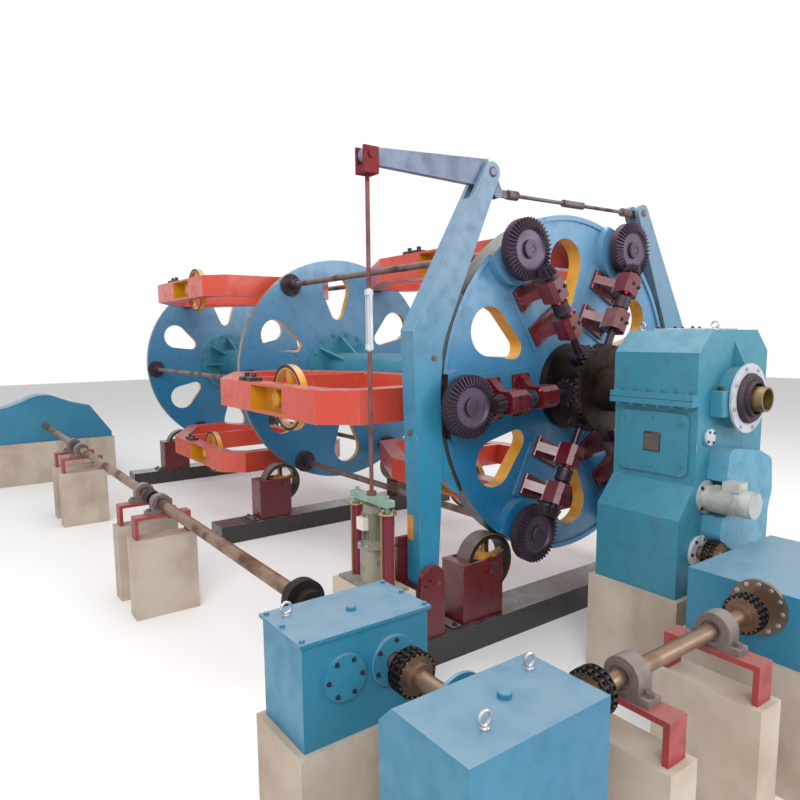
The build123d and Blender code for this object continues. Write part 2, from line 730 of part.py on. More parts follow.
def make_bracket(number, position):
    """Solid of one bearing bracket on the front disc, at a distance from the machine's axis."""
    outwards = arm_direction(number)
    seat_x = FRONT_DISC_X + ARM_PAD_HEIGHT
    seat = Vector(seat_x, 0, AXIS_HEIGHT) + outwards * (position - BRACKET_LENGTH / 2)
    section = Plane(origin=seat, x_dir=(1, 0, 0), z_dir=outwards)
    height = TRAIN_X - seat_x
    barrel = BRACKET_BARREL
    waist = barrel - BRACKET_POCKET / 2
    pocket = height - barrel - BRACKET_FOOT_THICKNESS - 2 * BRACKET_POCKET_MARGIN
    with BuildPart() as bracket:
        with BuildSketch(section):
            Polygon(
                (0, -BRACKET_FOOT_WIDTH / 2),
                (BRACKET_FOOT_THICKNESS, -BRACKET_FOOT_WIDTH / 2),
                (height - barrel, -waist),
                (height - BRACKET_SHOULDER, -barrel),
                (height + BRACKET_EDGE, -barrel),
                (height + barrel, -BRACKET_EDGE),
                (height + barrel, BRACKET_EDGE),
                (height + BRACKET_EDGE, barrel),
                (height - BRACKET_SHOULDER, barrel),
                (height - barrel, waist),
                (BRACKET_FOOT_THICKNESS, BRACKET_FOOT_WIDTH / 2),
                (0, BRACKET_FOOT_WIDTH / 2),
                align=None,
            )
        extrude(amount=BRACKET_LENGTH)
        for end in (0, BRACKET_LENGTH - BRACKET_POCKET):
            with BuildSketch(section.offset(end)):
                with Locations(((height - barrel + BRACKET_FOOT_THICKNESS) / 2, 0)):
                    Rectangle(pocket, BRACKET_FOOT_WIDTH)
            extrude(amount=BRACKET_POCKET, mode=Mode.SUBTRACT)
        with BuildSketch(section):
            with Locations((height, 0)):
                Circle(PINION_SHAFT_RADIUS + RUNNING_FIT)
        extrude(amount=BRACKET_LENGTH, mode=Mode.SUBTRACT)
    return bracket.part


def make_pinion_brackets():
    """All bearing brackets of the pinion shafts, two to a shaft."""
    with BuildPart() as brackets:
        for number in range(SPINDLES):
            for position in (OUTER_BRACKET_POSITION, INNER_BRACKET_POSITION):
                add(make_bracket(number, position))
    save(brackets, "pinion_brackets")


def make_sun_gear():
    """Fixed sun gear with its plate and the sleeve that holds it to the main gearbox."""
    pinion = sun_pinion_radius()
    tooth = bevel_tooth(SUN_TEETH, SUN_PITCH_RADIUS, pinion, SUN_FACE)
    inner, outer = root_line(SUN_TEETH, SUN_PITCH_RADIUS, pinion, SUN_FACE)
    back = pinion + SUN_PLATE
    bore = SHAFT_RADIUS + SHAFT_CLEARANCE
    sleeve_end = GEARBOX_REAR_X - TRAIN_X
    centre = Vector(TRAIN_X, 0, AXIS_HEIGHT)
    first_tooth = arm_direction(0)
    with BuildPart() as local:
        with BuildSketch(Plane.XZ):
            Polygon(
                (bore, inner[1] + GEAR_WEB_SINK),
                (inner[0] - GEAR_WEB_SINK, inner[1] + GEAR_WEB_SINK),
                inner,
                outer,
                (outer[0], back),
                (SLEEVE_RADIUS, back),
                (SLEEVE_RADIUS, sleeve_end),
                (bore, sleeve_end),
                align=None,
            )
        revolve(axis=Axis.Z)
        with PolarLocations(0, SUN_TEETH):
            add(tooth)
    with BuildPart() as sun:
        with Locations(Plane(origin=centre, x_dir=first_tooth, z_dir=(1, 0, 0))):
            add(local.part)
    save(sun, "sun_gear")


def bar(start, along, length, radius):
    """Add one round bar to the open part."""
    across = Vector(0, 0, 1).cross(along)
    if across.length < 0.5:
        across = Vector(1, 0, 0)
    with BuildSketch(Plane(origin=start, x_dir=across, z_dir=along)) as section:
        Circle(radius)
    extrude(section.sketch, amount=length)


def seat(wall, inwards, radius):
    """Cut a shaft's bearing seat into the wall of a gearbox in the open part."""
    depth = SHAFT_SEAT + JOINT_OVERLAP
    with BuildSketch(Plane(origin=wall, z_dir=inwards)) as section:
        Circle(radius + RUNNING_FIT)
    extrude(section.sketch, amount=depth, mode=Mode.SUBTRACT)


def block(low, high):
    """Add a plain block between two corners to the open part."""
    base = Plane(origin=(low[0], low[1], low[2]), x_dir=(1, 0, 0), z_dir=(0, 0, 1))
    with BuildSketch(base) as section:
        Rectangle(high[0] - low[0], high[1] - low[1], align=(Align.MIN, Align.MIN))
    extrude(section.sketch, amount=high[2] - low[2])


def make_gearbox():
    """Main gearbox: lower body with shoulders and covers, upper housing with the bearing nose."""
    bore = SHAFT_RADIUS + SHAFT_CLEARANCE
    base_z = GROUND_LEVEL - AXIS_HEIGHT
    with BuildPart() as body:
        with BuildSketch(axis_plane(GEARBOX_REAR_X)):
            Polygon(
                (-BODY_HALF_WIDTH, base_z),
                (-BODY_HALF_WIDTH, SHOULDER_BOTTOM),
                (-NECK_HALF_WIDTH, SHOULDER_TOP),
                (-NECK_HALF_WIDTH, -FLANGE_HALF_HEIGHT),
                (-GEARBOX_HALF_WIDTH - FLANGE_REACH, -FLANGE_HALF_HEIGHT),
                (-GEARBOX_HALF_WIDTH - FLANGE_REACH, 0),
                (GEARBOX_HALF_WIDTH + FLANGE_REACH, 0),
                (GEARBOX_HALF_WIDTH + FLANGE_REACH, -FLANGE_HALF_HEIGHT),
                (NECK_HALF_WIDTH, -FLANGE_HALF_HEIGHT),
                (NECK_HALF_WIDTH, SHOULDER_TOP),
                (BODY_HALF_WIDTH, SHOULDER_BOTTOM),
                (BODY_HALF_WIDTH, base_z),
                align=None,
            )
            Circle(bore, mode=Mode.SUBTRACT)
        extrude(amount=GEARBOX_LENGTH)
        cover_height = -FLANGE_HALF_HEIGHT - SHOULDER_TOP - 2 * COVER_MARGIN
        cover_z = AXIS_HEIGHT + (SHOULDER_TOP - FLANGE_HALF_HEIGHT) / 2
        left_wall = Plane(origin=(0, -NECK_HALF_WIDTH, cover_z), x_dir=(1, 0, 0), z_dir=(0, -1, 0))
        with BuildSketch(left_wall):
            RectangleRounded(GEARBOX_LENGTH - 2 * COVER_MARGIN, cover_height, COVER_CORNER)
        extrude(amount=COVER_THICKNESS)
        with BuildSketch(left_wall.offset(COVER_THICKNESS)):
            Rectangle(WINDOW_SIZE, WINDOW_SIZE)
        extrude(amount=WINDOW_THICKNESS)
        seat(Vector(GEARBOX_FRONT_X, OUTPUT_Y, DRIVE_HEIGHT), Vector(-1, 0, 0), CROSS_SHAFT_RADIUS)
    save(body, "gearbox_body")
    with BuildPart() as upper:
        with BuildSketch(axis_plane(GEARBOX_REAR_X)):
            Polygon(
                (-GEARBOX_HALF_WIDTH - FLANGE_REACH, 0),
                (-GEARBOX_HALF_WIDTH - FLANGE_REACH, FLANGE_HALF_HEIGHT),
                (-GEARBOX_HALF_WIDTH, FLANGE_HALF_HEIGHT),
                (-GEARBOX_HALF_WIDTH, GEARBOX_TOP - GEARBOX_CHAMFER_HEIGHT),
                (-GEARBOX_HALF_WIDTH + GEARBOX_CHAMFER_WIDTH, GEARBOX_TOP),
                (GEARBOX_HALF_WIDTH - GEARBOX_CHAMFER_WIDTH, GEARBOX_TOP),
                (GEARBOX_HALF_WIDTH, GEARBOX_TOP - GEARBOX_CHAMFER_HEIGHT),
                (GEARBOX_HALF_WIDTH, FLANGE_HALF_HEIGHT),
                (GEARBOX_HALF_WIDTH + FLANGE_REACH, FLANGE_HALF_HEIGHT),
                (GEARBOX_HALF_WIDTH + FLANGE_REACH, 0),
                align=None,
            )
            Circle(bore, mode=Mode.SUBTRACT)
        extrude(amount=GEARBOX_LENGTH)
    save(upper, "gearbox_upper")
    with BuildPart() as nose:
        with BuildSketch(axis_plane(GEARBOX_FRONT_X)):
            Circle(NOSE_RADIUS)
            Circle(SHAFT_RADIUS + RUNNING_FIT, mode=Mode.SUBTRACT)
        extrude(amount=NOSE_LENGTH)
        with BuildSketch(axis_plane(GEARBOX_FRONT_X + NOSE_LENGTH)):
            Circle(NOSE_RING_RADIUS)
            Circle(SHAFT_RADIUS + RUNNING_FIT, mode=Mode.SUBTRACT)
        extrude(amount=NOSE_RING_THICKNESS)
    save(nose, "bearing_nose")


def make_guard_and_motor():
    """Gear guard and barring motor on the gearbox front."""
    with BuildPart() as guard:
        with BuildSketch(axis_plane(GEARBOX_FRONT_X)) as section:
            Polygon(*GUARD_OUTLINE, align=None)
            fillet(section.vertices(), GUARD_CORNER)
            with Locations((MOTOR_Y, MOTOR_Z)):
                Circle(MOTOR_FLANGE_RADIUS + MOTOR_NOTCH_GAP, mode=Mode.SUBTRACT)
        extrude(amount=GUARD_DEPTH)
    save(guard, "gear_guard")
    box_z = AXIS_HEIGHT + MOTOR_Z + MOTOR_RADIUS - MOTOR_BOX_SINK
    box_x = GEARBOX_FRONT_X + MOTOR_BOX_START
    with BuildPart() as motor:
        with BuildSketch(axis_plane(GEARBOX_FRONT_X, MOTOR_Y, MOTOR_Z)):
            Circle(MOTOR_FLANGE_RADIUS)
        extrude(amount=MOTOR_FLANGE_THICKNESS)
        with BuildSketch(axis_plane(GEARBOX_FRONT_X, MOTOR_Y, MOTOR_Z)):
            Circle(MOTOR_RADIUS)
        extrude(amount=MOTOR_LENGTH)
        block(
            (box_x, MOTOR_Y - MOTOR_BOX_SIZE / 2, box_z),
            (box_x + MOTOR_BOX_SIZE, MOTOR_Y + MOTOR_BOX_SIZE / 2, box_z + MOTOR_BOX_HEIGHT),
        )
    save(motor, "barring_motor")


def bearing_stand(centre, along, shaft_radius):
    """Solid of one plummer block on its two-legged stand, the shaft running along a direction."""
    across = Vector(0, 0, 1).cross(along)
    foot = GROUND_LEVEL - DRIVE_HEIGHT
    top = -BLOCK_RADIUS
    leg = STAND_HALF_WIDTH - STAND_LEG
    bore = shaft_radius + RUNNING_FIT
    block_plane = Plane(origin=centre - along * (BLOCK_LENGTH / 2), x_dir=across, z_dir=along)
    stand_plane = Plane(origin=centre - along * (STAND_DEPTH / 2), x_dir=across, z_dir=along)
    with BuildPart() as stand:
        with BuildSketch(block_plane):
            Circle(BLOCK_RADIUS)
            with Locations((0, top / 2)):
                Rectangle(2 * BLOCK_RADIUS, BLOCK_RADIUS)
            with Locations((0, top + BLOCK_FOOT / 2)):
                Rectangle(2 * BLOCK_HALF_WIDTH, BLOCK_FOOT)
            Circle(bore, mode=Mode.SUBTRACT)
        extrude(amount=BLOCK_LENGTH)
        with BuildSketch(stand_plane):
            with Locations((0, top - STAND_PLATE / 2)):
                Rectangle(2 * STAND_HALF_WIDTH, STAND_PLATE)
            for side in (-1, 1):
                Polygon(
                    (side * STAND_HALF_WIDTH, top),
                    (side * leg, top),
                    (side * leg, foot),
                    (side * STAND_HALF_WIDTH, foot),
                    align=None,
                )
        extrude(amount=STAND_DEPTH)
    return stand.part


def make_stands():
    """Bearing stands of the line shaft and of the cross shaft."""
    forwards = Vector(1, 0, 0)
    sideways = Vector(0, 1, 0)
    with BuildPart() as line:
        for x in LINE_STAND_XS:
            add(bearing_stand(Vector(x, LINE_SHAFT_Y, DRIVE_HEIGHT), forwards, LINE_SHAFT_RADIUS))
    save(line, "line_shaft_stands")
    with BuildPart() as cross:
        for y in CROSS_STAND_YS:
            add(bearing_stand(Vector(CROSS_SHAFT_X, y, DRIVE_HEIGHT), sideways, CROSS_SHAFT_RADIUS))
    save(cross, "cross_shaft_stands")


def chain_coupling(centre, along):
    """Add a double-strand chain coupling to the open part."""
    for side in (-1, 1):
        middle = centre + along * (side * (CHAIN_GAP + CHAIN_WIDTH) / 2)
        bar(middle - along * (CHAIN_WIDTH / 2), along, CHAIN_WIDTH, CHAIN_RADIUS)
    bar(centre - along * (CHAIN_HUB_LENGTH / 2), along, CHAIN_HUB_LENGTH, CHAIN_HUB_RADIUS)


def make_drive_shafts():
    """The four turning shafts of the drive line with their couplings."""
    forwards = Vector(1, 0, 0)
    sideways = Vector(0, -1, 0)
    output_start = Vector(GEARBOX_FRONT_X - SHAFT_SEAT, OUTPUT_Y, DRIVE_HEIGHT)
    output_length = BEVEL_BOX_X[0] - GEARBOX_FRONT_X + 2 * SHAFT_SEAT
    with BuildPart() as output:
        bar(output_start, forwards, output_length, CROSS_SHAFT_RADIUS)
        chain_coupling(Vector(CHAIN_X, OUTPUT_Y, DRIVE_HEIGHT), forwards)
    save(output, "output_shaft")
    cross_start = Vector(CROSS_SHAFT_X, BEVEL_BOX_Y[0] + SHAFT_SEAT, DRIVE_HEIGHT)
    cross_length = BEVEL_BOX_Y[0] - CORNER_BOX_Y[1] + 2 * SHAFT_SEAT
    flange_start = Vector(CROSS_SHAFT_X, BEVEL_BOX_Y[0] - PLAY, DRIVE_HEIGHT)
    with BuildPart() as cross:
        bar(cross_start, sideways, cross_length, CROSS_SHAFT_RADIUS)
        bar(flange_start, sideways, DISC_FLANGE_THICKNESS, DISC_FLANGE_RADIUS)
        for y in CROSS_COUPLING_YS:
            chain_coupling(Vector(CROSS_SHAFT_X, y, DRIVE_HEIGHT), sideways)
    save(cross, "cross_shaft")
    corner_start = Vector(TRANSFER_BOX_X[1] - SHAFT_SEAT, LINE_SHAFT_Y, DRIVE_HEIGHT)
    corner_length = CORNER_BOX_X[0] - TRANSFER_BOX_X[1] + 2 * SHAFT_SEAT
    with BuildPart() as corner:
        bar(corner_start, forwards, corner_length, CROSS_SHAFT_RADIUS)
        chain_coupling(Vector(CHAIN_X, LINE_SHAFT_Y, DRIVE_HEIGHT), forwards)
    save(corner, "corner_shaft")
    line_start = Vector(REAR_BOX_X[1] - SHAFT_SEAT, LINE_SHAFT_Y, DRIVE_HEIGHT)
    line_length = TRANSFER_BOX_X[0] - REAR_BOX_X[1] + 2 * SHAFT_SEAT
    with BuildPart() as line:
        bar(line_start, forwards, line_length, LINE_SHAFT_RADIUS)
        for x in LINE_COLLAR_XS:
            start = Vector(x - LINE_COLLAR_LENGTH / 2, LINE_SHAFT_Y, DRIVE_HEIGHT)
            bar(start, forwards, LINE_COLLAR_LENGTH, LINE_COLLAR_RADIUS)
        flange = Vector(FLANGE_COUPLING_X, LINE_SHAFT_Y, DRIVE_HEIGHT)
        for side in (-1, 1):
            bar(flange, forwards * side, FLANGE_COUPLING_WIDTH, FLANGE_COUPLING_RADIUS)
            bar(flange, forwards * side, FLANGE_HUB_LENGTH, FLANGE_HUB_RADIUS)
    save(line, "line_shaft")


def make_drive_boxes():
    """The four gearboxes of the drive line."""
    forwards = Vector(1, 0, 0)
    rightwards = Vector(0, 1, 0)
    with BuildPart() as bevel:
        block(
            (BEVEL_BOX_X[0], BEVEL_BOX_Y[0], GROUND_LEVEL),
            (BEVEL_BOX_X[1], BEVEL_BOX_Y[1], DRIVE_HEIGHT + BEVEL_BOX_TOP),
        )
        seat(Vector(BEVEL_BOX_X[0], OUTPUT_Y, DRIVE_HEIGHT), forwards, CROSS_SHAFT_RADIUS)
        seat(Vector(CROSS_SHAFT_X, BEVEL_BOX_Y[0], DRIVE_HEIGHT), rightwards, CROSS_SHAFT_RADIUS)
    save(bevel, "right_angle_box")
    top = DRIVE_HEIGHT + CORNER_BOX_TOP
    with BuildPart() as corner:
        block(
            (CORNER_BOX_X[0], CORNER_BOX_Y[0], GROUND_LEVEL),
            (CORNER_BOX_X[1], CORNER_BOX_Y[1], top),
        )
        saddle = corner.edges().filter_by(Axis.Y).group_by(Axis.Z)[-1].sort_by(Axis.X)[0]
        chamfer(saddle, CORNER_BOX_CUT)
        seat(Vector(CORNER_BOX_X[0], LINE_SHAFT_Y, DRIVE_HEIGHT), forwards, CROSS_SHAFT_RADIUS)
        seat(Vector(CROSS_SHAFT_X, CORNER_BOX_Y[1], DRIVE_HEIGHT), rightwards * -1, CROSS_SHAFT_RADIUS)
    save(corner, "corner_box")
    lid = DRIVE_HEIGHT + TRANSFER_BOX_TOP
    with BuildPart() as transfer:
        block(
            (TRANSFER_BOX_X[0], TRANSFER_BOX_Y[0], GROUND_LEVEL),
            (TRANSFER_BOX_X[1], TRANSFER_BOX_Y[1], lid - LID),
        )
        block(
            (TRANSFER_BOX_X[0] - LID_EDGE, TRANSFER_BOX_Y[0] - LID_EDGE, lid - LID),
            (TRANSFER_BOX_X[1] + LID_EDGE, TRANSFER_BOX_Y[1] + LID_EDGE, lid),
        )
        cover = Vector(TRANSFER_BOX_X[1], SPARE_COVER_Y, DRIVE_HEIGHT)
        bar(cover, forwards, SPARE_COVER_THICKNESS, SPARE_COVER_RADIUS)
        seat(Vector(TRANSFER_BOX_X[1], LINE_SHAFT_Y, DRIVE_HEIGHT), forwards * -1, CROSS_SHAFT_RADIUS)
        seat(Vector(TRANSFER_BOX_X[0], LINE_SHAFT_Y, DRIVE_HEIGHT), forwards, LINE_SHAFT_RADIUS)
    save(transfer, "transfer_box")
    face = Plane(origin=(REAR_BOX_X[0], LINE_SHAFT_Y, DRIVE_HEIGHT), x_dir=(0, 1, 0), z_dir=(1, 0, 0))
    half = [(y, z - DRIVE_HEIGHT) for y, z in REAR_BOX_OUTLINE]
    with BuildPart() as rear:
        with BuildSketch(face):
            Polygon(*(half + [(-y, z) for y, z in reversed(half)]), align=None)
            Circle(REAR_BOX_HUMP)
            with Locations((0, GROUND_LEVEL - DRIVE_HEIGHT)):
                width = 3 * REAR_BOX_HUMP
                Rectangle(width, width, align=(Align.CENTER, Align.MAX), mode=Mode.SUBTRACT)
        extrude(amount=REAR_BOX_X[1] - REAR_BOX_X[0])
        seat(Vector(REAR_BOX_X[1], LINE_SHAFT_Y, DRIVE_HEIGHT), forwards * -1, LINE_SHAFT_RADIUS)
    save(rear, "rear_gearbox")


def make_roller(name, centre):
    """Spoked support roller with its axle."""
    plane = Plane(origin=centre, x_dir=(0, 1, 0), z_dir=(1, 0, 0))
    spoke = ROLLER_RADIUS - ROLLER_RIM + JOINT_OVERLAP
    with BuildPart() as roller:
        with BuildSketch(plane):
            Circle(ROLLER_RADIUS)
            Circle(ROLLER_RADIUS - ROLLER_RIM, mode=Mode.SUBTRACT)
            Circle(ROLLER_HUB_RADIUS)
        extrude(amount=ROLLER_WIDTH / 2, both=True)
        with BuildSketch(plane):
            with PolarLocations(spoke / 2, ROLLER_SPOKES, start_angle=90):
                Rectangle(spoke, ROLLER_SPOKE_WIDTH)
        extrude(amount=ROLLER_WEB / 2, both=True)
        with BuildSketch(plane):
            Circle(ROLLER_AXLE_RADIUS)
        extrude(amount=STAND_BOX_DEPTH / 2 + ROLLER_AXLE_TAIL, both=True)
    save(roller, name)


def make_roller_stand(name, middle_x):
    """Cross beam with an open box for each of the two rollers of one disc."""
    room = STAND_BOX_DEPTH / 2 - STAND_BOX_WALL
    opening = ROLLER_RADIUS + 2 * RUNNING_GAP
    with BuildPart() as stand:
        block(
            (middle_x - BEAM_DEPTH / 2, -BEAM_HALF_LENGTH, 0),
            (middle_x + BEAM_DEPTH / 2, BEAM_HALF_LENGTH, BEAM_HEIGHT),
        )
        for side in (-1, 1):
            near, far = sorted((side * STAND_BOX_OUTER_Y, side * STAND_BOX_INNER_Y))
            block(
                (middle_x - STAND_BOX_DEPTH / 2, near, BEAM_HEIGHT),
                (middle_x + STAND_BOX_DEPTH / 2, far, STAND_BOX_TOP),
            )
            centre = (middle_x, side * ROLLER_Y, AXIS_HEIGHT - ROLLER_DROP)
            plane = Plane(origin=centre, x_dir=(0, 1, 0), z_dir=(1, 0, 0))
            with BuildSketch(plane):
                Circle(opening)
                with Locations((0, opening)):
                    Rectangle(2 * opening, 2 * opening)
            extrude(amount=room, both=True, mode=Mode.SUBTRACT)
            with BuildSketch(plane):
                Circle(ROLLER_AXLE_RADIUS + RUNNING_FIT)
            extrude(amount=STAND_BOX_DEPTH, both=True, mode=Mode.SUBTRACT)
    save(stand, name)


def make_rollers():
    """Support rollers and their stands under the three discs."""
    for name, face_x, thickness in DISCS:
        middle_x = face_x - thickness / 2
        place = name.split("_")[0]
        for side, hand in ((-1, "left"), (1, "right")):
            centre = (middle_x, side * ROLLER_Y, AXIS_HEIGHT - ROLLER_DROP)
            make_roller(f"{place}_{hand}_roller", centre)
        make_roller_stand(f"{place}_roller_stand", middle_x)


def lever_outline(side, top_z):
    """Corners of a brake lever across the machine, those of its lower beam and of its upper one."""
    run = (LEVER_INNER + LEVER_OUTER_BEND) / 2 - LEVER_TOP_Y
    lean = atan2(top_z - LEVER_BEND_Z, run)
    off_y = LEVER_TOP_RADIUS * sin(lean)
    off_z = LEVER_TOP_RADIUS * cos(lean)
    bend = [
        (LEVER_OUTER_BEND, LEVER_BEND_Z + LEVER_BEND_RISE),
        (LEVER_INNER_BEND, LEVER_BEND_Z),
    ]
    lower = bend + [
        (LEVER_INNER, LEVER_LOW_Z),
        (LEVER_PIN_Y - LEVER_FOOT_RADIUS, LEVER_PIN_Z),
        (LEVER_PIN_Y + LEVER_FOOT_RADIUS, LEVER_PIN_Z),
        (LEVER_OUTER_LOW, LEVER_LOW_Z),
    ]
    upper = bend + [
        (LEVER_TOP_Y - off_y, top_z - off_z),
        (LEVER_TOP_Y + off_y, top_z + off_z),
    ]
    return [(side * y, z) for y, z in lower], [(side * y, z) for y, z in upper]


def lower_beam(side, top_z):
    """Lower length of a brake lever, from its foot pin to the weld at the bend."""
    back_x = LEVER_X - LEVER_THICKNESS / 2
    foot = (side * LEVER_PIN_Y, LEVER_PIN_Z)
    with BuildPart() as beam:
        with BuildSketch(axis_plane(back_x)):
            Polygon(*lever_outline(side, top_z)[0], align=None)
            with Locations(foot):
                Circle(LEVER_FOOT_RADIUS)
                Circle(PIN_RADIUS + RUNNING_FIT, mode=Mode.SUBTRACT)
            Circle(LINING_BACK, mode=Mode.SUBTRACT)
        extrude(amount=LEVER_THICKNESS)
    return beam.part


def upper_beam(side, top_z):
    """Upper length of a brake lever, from the weld at the bend to the fork at its top."""
    back_x = LEVER_X - LEVER_THICKNESS / 2
    slot = ARM_THICKNESS + 2 * FORK_GAP
    top = (side * LEVER_TOP_Y, top_z)
    with BuildPart() as beam:
        with BuildSketch(axis_plane(back_x)):
            Polygon(*lever_outline(side, top_z)[1], align=None)
            with Locations(top):
                Circle(LEVER_TOP_RADIUS)
                if side < 0:
                    Circle(PIN_RADIUS + RUNNING_FIT, mode=Mode.SUBTRACT)
            Circle(LINING_BACK, mode=Mode.SUBTRACT)
        extrude(amount=LEVER_THICKNESS)
        with BuildSketch(axis_plane(LEVER_X - slot / 2)):
            with Locations(top):
                Circle(FORK_REACH)
        extrude(amount=slot, mode=Mode.SUBTRACT)
        if side > 0:
            with BuildSketch(axis_plane(back_x)):
                with Locations(top):
                    Circle(PIN_RADIUS)
            extrude(amount=LEVER_THICKNESS)
    return beam.part


def shoe_plates(side, top_z):
    """Plates that fill the space between a lever's inner edge and the back of its lining."""
    tip_y = cos(radians(SHOE_HALF_ANGLE))
    tip_z = -sin(radians(SHOE_HALF_ANGLE))
    top_y = cos(radians(SHOE_PLATE_TOP))
    plate_top_z = sin(radians(SHOE_PLATE_TOP))
    tip = LINING_BACK + SHOE_TIP
    beam_middle = (LEVER_INNER + LEVER_OUTER_LOW) / 2
    points = [
        (DISC_RADIUS * tip_y, DISC_RADIUS * tip_z),
        (tip * tip_y, tip * tip_z),
        (LEVER_INNER, SHOE_HEEL_Z),
        (beam_middle, LEVER_BEND_Z),
        (beam_middle * top_y, beam_middle * plate_top_z),
        (DISC_RADIUS * top_y, DISC_RADIUS * plate_top_z),
    ]
    lower, upper = lever_outline(side, top_z)
    with BuildPart() as plates:
        with BuildSketch(axis_plane(LEVER_X - SHOE_WIDTH / 2)):
            Polygon(*[(side * y, z) for y, z in points], align=None)
            Polygon(*lower, align=None, mode=Mode.SUBTRACT)
            Polygon(*upper, align=None, mode=Mode.SUBTRACT)
            Circle(LINING_BACK, mode=Mode.SUBTRACT)
        extrude(amount=SHOE_WIDTH)
    return plates.part


def lining_blocks(side):
    """Brake lining of one shoe, in blocks with narrow joints between them."""
    reach = 2 * LINING_BACK
    slope = sin(radians(SHOE_HALF_ANGLE)) / cos(radians(SHOE_HALF_ANGLE))
    block_angle = 2 * SHOE_HALF_ANGLE / LINING_BLOCKS
    with BuildPart() as lining:
        with BuildSketch(axis_plane(LEVER_X - SHOE_WIDTH / 2)):
            Circle(LINING_BACK)
            Circle(DISC_RADIUS + SHOE_GAP, mode=Mode.SUBTRACT)
            Polygon(
                (0, 0),
                (side * reach, reach * slope),
                (side * reach, -reach * slope),
                align=None,
                mode=Mode.INTERSECT,
            )
            for number in range(1, LINING_BLOCKS):
                with Locations(Location((0, 0, 0), (0, 0, number * block_angle - SHOE_HALF_ANGLE))):
                    Rectangle(reach, LINING_JOINT, mode=Mode.SUBTRACT)
        extrude(amount=SHOE_WIDTH)
    return lining.part


def make_lever(side, hand, top_z):
    """Brake lever of two welded lengths, with the plates of its shoe and the lining blocks."""
    pieces = [lower_beam(side, top_z), upper_beam(side, top_z), shoe_plates(side, top_z), lining_blocks(side)]
    lever = Compound([solid for piece in pieces for solid in piece.solids()])
    lever.label = f"{hand}_brake_lever"
    export_step(lever, f"parts/{hand}_brake_lever.step")


def make_brake_links():
    """Bell crank, tie rod, pull rod and thruster crosshead."""
    pivot = (-LEVER_TOP_Y, LEFT_TOP_Z)
    rod_pin = (pivot[0] + ROD_PIN_OUT, pivot[1] - ROD_PIN_DROP)
    arm_tip = (ARM_END_Y, ARM_END_Z)
    half = ARM_THICKNESS / 2
    with BuildPart() as crank:
        with BuildSketch(axis_plane(LEVER_X - half)):
            with Locations(pivot):
                Circle(CRANK_BOSS_RADIUS)
            with Locations(rod_pin):
                Circle(CRANK_EYE_RADIUS)
            make_hull()
            Polygon(
                (arm_tip[0], arm_tip[1] + ARM_TIP_HALF),
                (pivot[0], pivot[1] + ARM_ROOT_HALF),
                (pivot[0], pivot[1] - ARM_ROOT_HALF),
                (arm_tip[0], arm_tip[1] - ARM_TIP_HALF),
                align=None,
            )
            with Locations(arm_tip):
                Circle(ARM_TIP_HALF)
                Circle(PIN_RADIUS + RUNNING_FIT, mode=Mode.SUBTRACT)
        extrude(amount=ARM_THICKNESS)
        with BuildSketch(axis_plane(LEVER_X - EYE_THICKNESS / 2 - FORK_GAP / 2)):
            with Locations(rod_pin):
                Circle(CRANK_SLOT_RADIUS)
        extrude(amount=EYE_THICKNESS + FORK_GAP, mode=Mode.SUBTRACT)
        with BuildSketch(axis_plane(LEVER_X - half)):
            with Locations(rod_pin):
                Circle(TIE_PIN_RADIUS)
        extrude(amount=ARM_THICKNESS)
        with BuildSketch(axis_plane(LEVER_X - LEVER_THICKNESS / 2 - PIN_TAIL)):
            with Locations(pivot):
                Circle(PIN_RADIUS)
        extrude(amount=LEVER_THICKNESS + 2 * PIN_TAIL)
    save(crank, "bell_crank")
    start = Vector(LEVER_X, rod_pin[0], AXIS_HEIGHT + rod_pin[1])
    end = Vector(LEVER_X, LEVER_TOP_Y, AXIS_HEIGHT + RIGHT_TOP_Z)
    along = (end - start).normalized()
    length = (end - start).length
    eye_plane = Plane(origin=start - Vector(EYE_THICKNESS / 2, 0, 0), x_dir=along, z_dir=(1, 0, 0))
    with BuildPart() as tie:
        with BuildSketch(eye_plane):
            Circle(EYE_RADIUS)
            with Locations((TIE_NECK_START / 2, 0)):
                Rectangle(TIE_NECK_START, 2 * TIE_NECK_HALF)
            with Locations((length, 0)):
                Circle(EYE_RADIUS)
            with Locations((length - TIE_NECK_START / 2, 0)):
                Rectangle(TIE_NECK_START, 2 * TIE_NECK_HALF)
            Circle(TIE_PIN_RADIUS + RUNNING_FIT, mode=Mode.SUBTRACT)
            with Locations((length, 0)):
                Circle(PIN_RADIUS + OPEN_PIVOT_GAP, mode=Mode.SUBTRACT)
        extrude(amount=EYE_THICKNESS)
        bar(start + along * (TIE_NECK_START - JOINT_OVERLAP), along, TIE_NECK_LENGTH, TIE_NECK_RADIUS)
        bar(end - along * (TIE_NECK_START - JOINT_OVERLAP), along * -1, TIE_NECK_LENGTH, TIE_NECK_RADIUS)
        bar(start + along * TIE_NECK_START, along, length - 2 * TIE_NECK_START, TIE_RADIUS)
        middle = start + along * (length / 2 - TIE_BARREL_LENGTH / 2)
        bar(middle, along, TIE_BARREL_LENGTH, TIE_BARREL_RADIUS)
    save(tie, "tie_rod")
    make_pull_rod(arm_tip)
    make_crosshead()


